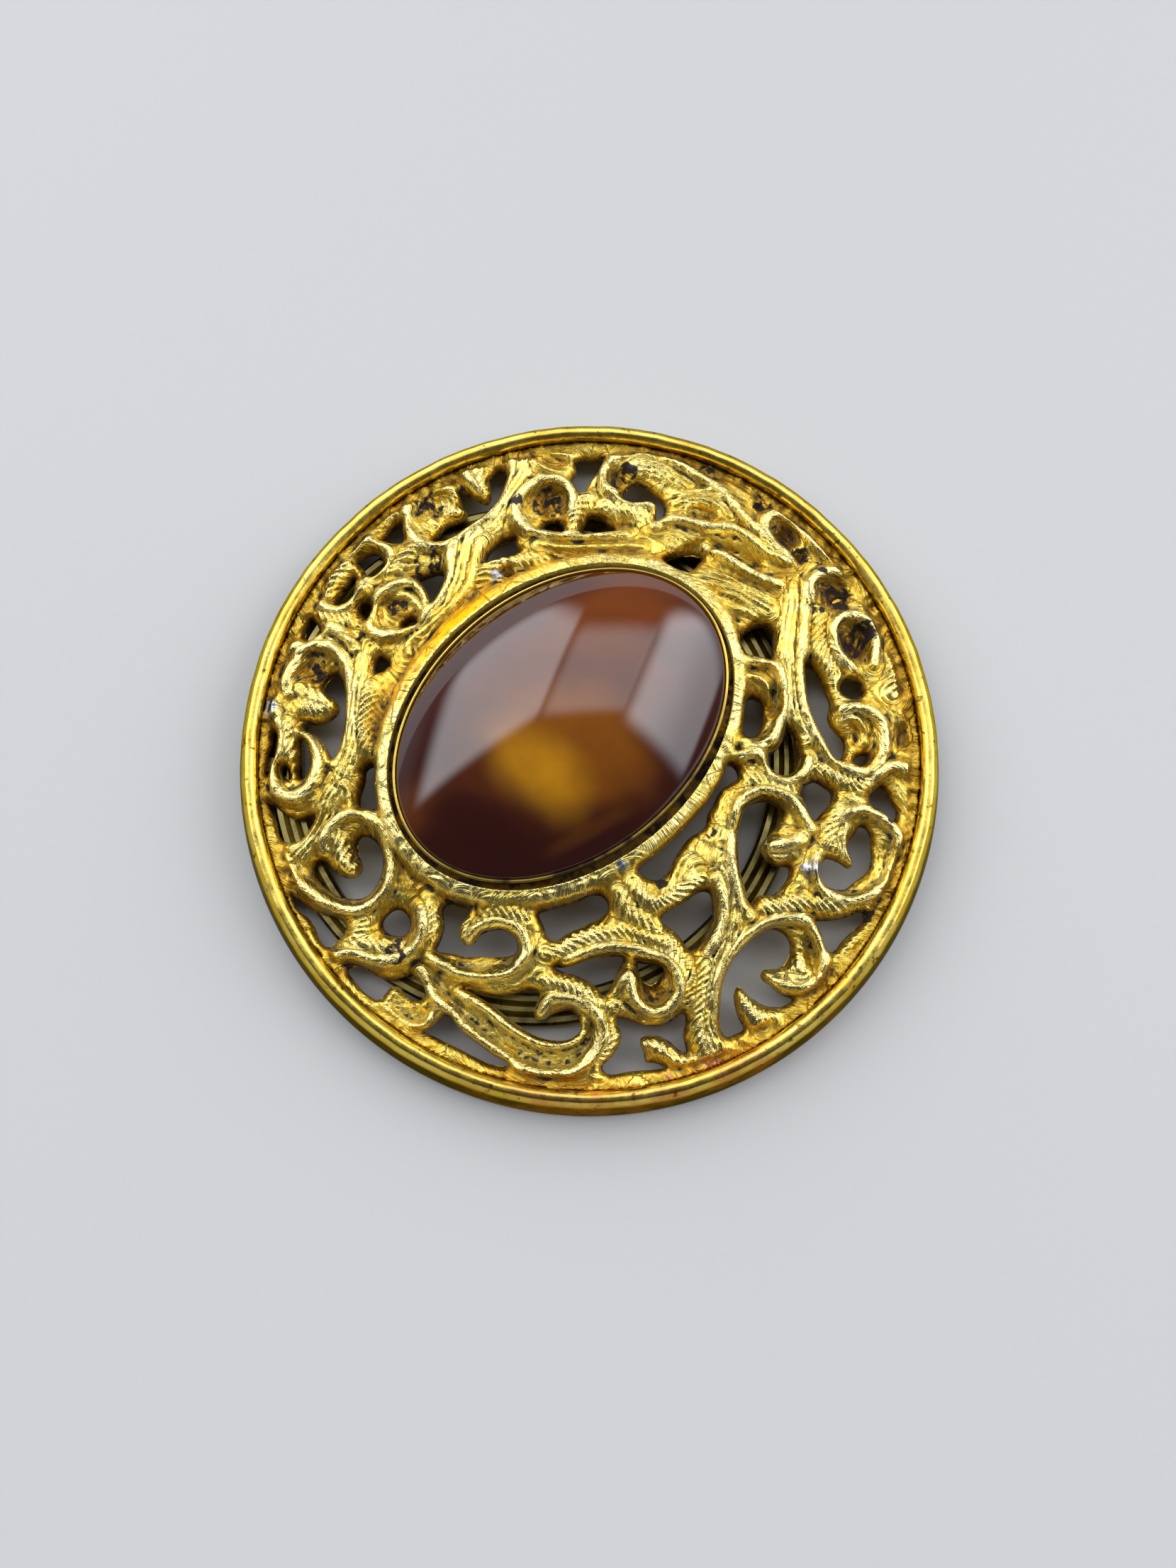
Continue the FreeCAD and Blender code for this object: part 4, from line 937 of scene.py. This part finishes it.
# the underside and the floor under the stone get fixed low crest and fine values: painted shade,
# darker than the top
SHADED_SHEET_VALUES = {"under": {"crest": 0.34, "fine": 0.5}, "floor": {"crest": 0.10, "fine": 0.3}}
TOP_FIELDS = {
    # crest sets the painted highlight and painted shade of the gold: lower on the border ledge,
    # higher along the grooves as painted sheen
    "crest": 0.52 + 0.74 * height_above - 0.14 * ledge + 0.34 * groove_sheen,
    "run": bark_run,
    "side": bark_side,
    "fine": 0.5 + 1.6 * fine_height + 0.10 * groove_sheen,
    "tarnish": tarnish,
    "silver": silver,
    "copper": copper,
    "ochre": ochre,
}
levels = [level for _, level in sheets.index]
for name, field in TOP_FIELDS.items():
    mark(openwork, name, [SHADED_SHEET_VALUES[level].get(name, 0.0) if level in SHADED_SHEET_VALUES
                          else sample(field, point[0] / MM, point[1] / MM)
                          for level, point in zip(levels, sheets.points)])
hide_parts("openwork_front")


def rounded(profile, radius, steps=4):
    """Profile points with each corner turned into a short arc."""
    p = [Vector(q) for q in profile]
    out = []
    for k, here in enumerate(p):
        before, after = p[k - 1] - here, p[(k + 1) % len(p)] - here
        cut = min(radius, before.length * 0.45, after.length * 0.45)
        a, b = here + before.normalized() * cut, here + after.normalized() * cut
        for n in range(steps + 1):
            t = n / steps
            out.append(a * (1 - t) ** 2 + here * 2 * t * (1 - t) + b * t * t)
    return out


def lathe(name, profile, segments, material, uneven):
    """Closed ring from a profile of (radius, height), turned about Z."""
    points, faces = [], []
    count = len(profile)
    for k in range(segments):
        angle = 2 * math.pi * k / segments
        for r, z in profile:
            dr, dz = uneven(angle, z)
            points.append(((r + dr) * math.cos(angle) * MM, (r + dr) * math.sin(angle) * MM,
                           (z + dz) * MM))
    for k in range(segments):
        for n in range(count):
            up, here, after = (n + 1) % count, k * count, (k + 1) % segments * count
            faces.append((here + n, after + n, after + up, here + up))
    return new_object(name, points, faces, material)


RIM_PROFILE = [(23.9, 0.02), (24.95, 0.02), (24.95, 0.3), (24.33, 2.38), (23.86, 3.02),
               (23.45, 3.02), (23.16, 2.7), (23.16, 1.25), (23.9, 0.9)]
RIM_ROUNDING = 0.16
BEAD_FROM = 2.0
# hand finishing of the bead: waves round the rim, their share and their phase
LUMPS = ((5, 0.5, 0.3), (11, 0.4, 1.9), (23, 0.35, 4.1), (47, 0.3, 2.2), (83, 0.2, 0.7))


def rim_uneven(angle, z):
    lump = sum(a * math.sin(n * angle + p) for n, a, p in LUMPS)
    return (-0.022 + 0.018 * lump, 0.03 * lump) if z > BEAD_FROM else (0.0, 0.0)


rim = lathe("rim_band_worn", rounded(RIM_PROFILE, RIM_ROUNDING), 720, rim_gold, rim_uneven)
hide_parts("rim_band")


def oval_point(angle, major, minor, z):
    u, v = major * math.cos(angle), minor * math.sin(angle)
    c, s = math.cos(OVAL_ANGLE), math.sin(OVAL_ANGLE)
    return ((OVAL_X + u * c - v * s) * MM, (OVAL_Y + u * s + v * c) * MM, z * MM)


def oval_shell(name, rings, segments, material, closed_ends):
    """Skin over oval rings of (major, minor, z), joined end to end."""
    points = [oval_point(2 * math.pi * k / segments, *ring) for ring in rings
              for k in range(segments)]
    faces = []
    pairs = list(zip(range(len(rings) - 1), range(1, len(rings))))
    if not closed_ends:
        pairs.append((len(rings) - 1, 0))
    for low, high in pairs:
        for k in range(segments):
            n = (k + 1) % segments
            faces.append((low * segments + k, low * segments + n,
                          high * segments + n, high * segments + k))
    if closed_ends:
        faces.append(tuple(reversed(range(segments))))
        last = (len(rings) - 1) * segments
        faces.append(tuple(last + k for k in range(segments)))
    return new_object(name, points, faces, material)


GAP = 0.01
STONE_MAJOR, STONE_MINOR = 12.5, 9.0
# the dome is the top of an ellipsoid this much wider than the stone, centred at this height
STONE_SWELL, STONE_CENTRE = 1.5, -7.1
DOME_RINGS, DOME_FULL = 56, 55.2


def stone_ring(share, z):
    return STONE_MAJOR * share, STONE_MINOR * share, z


stone_rings = [stone_ring(0.5, STONE_LOW.z + GAP), stone_ring(0.985, STONE_LOW.z + GAP),
               stone_ring(1.0, STONE_LOW.z + 0.12)]
girdle = math.asin(math.sqrt(1 - 1 / STONE_SWELL ** 2))
for k in range(DOME_RINGS):
    lift = girdle + (math.pi / 2 - girdle) * (k / DOME_FULL)
    stone_rings.append(stone_ring(STONE_SWELL * math.cos(lift), STONE_CENTRE
                                  + (STONE_HIGH.z - STONE_CENTRE) * math.sin(lift)))
stone = oval_shell("cabochon_agate", stone_rings, 192, agate_stone, True)
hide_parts("cabochon")

CUP_OUTER = (12.72, 9.22)
CUP_WALL, CUP_BASE, CUP_HOLE = 0.22, 0.24, 6.0
LIP_FOOT, LIP_DROP, LIP_STEPS = 5.30, 0.14, 8


def cup_ring(inset, z):
    return CUP_OUTER[0] - inset, CUP_OUTER[1] - inset, z


cup_rings = [cup_ring(CUP_HOLE, CUP_LOW.z + CUP_BASE), cup_ring(CUP_HOLE, CUP_LOW.z + GAP),
             cup_ring(0.12, CUP_LOW.z + GAP), cup_ring(0.02, CUP_LOW.z + 0.10),
             cup_ring(0.0, LIP_FOOT - 0.25), cup_ring(-0.02, LIP_FOOT)]
for k in range(LIP_STEPS + 1):
    turn = math.pi * k / LIP_STEPS
    cup_rings.append(cup_ring(0.095 - 0.115 * math.cos(turn),
                              CUP_HIGH.z - LIP_DROP + 0.13 * math.sin(turn)))
cup_rings += [cup_ring(CUP_WALL, LIP_FOOT), cup_ring(CUP_WALL, CUP_LOW.z + 0.25)]
cup = oval_shell("setting_cup_rolled", cup_rings, 240, cup_gold, False)
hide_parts("setting_cup")

cement = Material("cement")
CEMENT_TONES = [(0.3, (0.10, 0.08, 0.06)), (0.7, (0.24, 0.20, 0.15))]
cement.set(Base_Color=cement.ramp(cement.noise(800), CEMENT_TONES), Roughness=0.8)

FINISHES = {"stone_cement": cement.material, "hinge_plate": shaded_brass, "clip_ring": shaded_brass,
            "hinge_lug": shaded_brass, "hinge_pin": steel, "spring_tongue": steel}
for node, material in FINISHES.items():
    for slot in nodes[node].material_slots:
        slot.material = material

# ---- floor, lights, camera

FLOOR_HALF, FLOOR_Z = 1.5, -0.00002
floor_mesh = bpy.data.meshes.new("floor")
floor_mesh.from_pydata([(x * FLOOR_HALF, y * FLOOR_HALF, FLOOR_Z)
                        for x, y in ((-1, -1), (1, -1), (1, 1), (-1, 1))], [], [(0, 1, 2, 3)])
floor = bpy.data.objects.new("floor", floor_mesh)
bpy.context.scene.collection.objects.link(floor)
floor_paint = Material("floor_paint")
floor_paint.set(Base_Color=(0.60, 0.60, 0.59, 1.0), Roughness=0.65)
floor_mesh.materials.append(floor_paint.material)


# left and right edge, height and slope of the sill and of the top, strength and softness
WINDOWS = {
    "west": (-0.78, -0.145, (0.21, 0.55), (0.66, -0.75), 2.7, 0.08),
    "middle": (-0.115, 0.365, (0.11, -0.10), (0.66, -0.12), 1.6, 0.06),
    "east": (0.40, 0.93, (0.29, -0.66), (0.66, 0.20), 3.3, 0.08),
}
FRAME_BLUR = 0.025
HORIZON_LOW, HORIZON_HIGH = 1.06, 0.90
DAYLIGHT = (0.93, 0.95, 1.0, 1.0)
BACKDROP = (0.66, 0.67, 0.69, 1.0)


def studio_world():
    """Soft tall windows round the far side, laid out by angle from straight up."""
    world = bpy.data.worlds.new("studio")
    bpy.context.scene.world = world
    world.use_nodes = True
    w = Nodes(world.node_tree)

    def soft(value, low, high):
        return w.range(value, low, high, kind="SMOOTHERSTEP")

    east, north, up = w.split(w.node("ShaderNodeTexCoord").outputs["Generated"])
    flat = w.math("SQRT", w.plus(w.times(east, east), w.times(north, north)))
    angle = w.math("DIVIDE", w.math("ARCTAN2", flat, up), math.pi / 2)
    scale = w.math("DIVIDE", angle, w.larger(flat, 0.001))
    px, py = w.times(east, scale), w.times(north, scale)

    def window(left, right, sill, top, strength, blur):
        """A soft-edged window in the plan of angles."""
        mask = w.times(soft(px, left - blur, left + blur),
                       soft(px, right + FRAME_BLUR, right - FRAME_BLUR))
        for (height, slope), spread in ((sill, blur), (top, -1.8 * blur)):
            edge = w.less(py, w.times(px, slope))
            mask = w.times(mask, soft(edge, height - spread, height + spread))
        return w.times(w.times(mask, soft(angle, HORIZON_LOW, HORIZON_HIGH)), strength)

    fading = w.less(1.1, w.times(soft(px, 0.45, 0.95), 0.5))
    light = w.plus(w.plus(window(*WINDOWS["west"]), window(*WINDOWS["middle"])),
                   w.times(window(*WINDOWS["east"]), fading))
    light = w.plus(light, w.times(soft(px, -0.80, -0.98), 0.20))
    room = w.plus(0.07, w.times(soft(py, -0.9, 1.0), 0.09))
    studio = w.tree.nodes["Background"]
    w.feed(studio.inputs["Strength"], w.plus(light, room))
    w.feed(studio.inputs["Color"], DAYLIGHT)

    # seen directly, behind the floor's edge, the studio is a plain pale backdrop
    backdrop = w.node("ShaderNodeBackground", Color=BACKDROP)
    seen = w.node("ShaderNodeLightPath").outputs["Is Camera Ray"]
    either = w.node("ShaderNodeMixShader", None, seen, studio.outputs[0], backdrop.outputs[0])
    w.feed(w.tree.nodes["World Output"].inputs["Surface"], either.outputs[0])


studio_world()

CAMERA_DISTANCE = 84.2
CAMERA_TILT = math.radians(10.5)
CAMERA_TURN = math.radians(1.0)
AIM = Vector((0.10, -2.03, 0.0))
LENS, SENSOR_HEIGHT = 27.05, 36.0
camera_data = bpy.data.cameras.new("camera")
camera_data.sensor_fit = "VERTICAL"
camera_data.sensor_height = SENSOR_HEIGHT
camera_data.lens = LENS
camera_data.clip_start = 0.001
camera = bpy.data.objects.new("camera", camera_data)
bpy.context.scene.collection.objects.link(camera)
back = Vector((math.sin(CAMERA_TURN) * math.cos(CAMERA_TILT), -math.sin(CAMERA_TILT),
               math.cos(CAMERA_TURN) * math.cos(CAMERA_TILT))).normalized()
camera.location = (AIM + back * CAMERA_DISTANCE) * MM
camera.rotation_euler = back.to_track_quat("Z", "Y").to_euler()
bpy.context.scene.camera = camera
bpy.context.scene.view_settings.view_transform = "Standard"
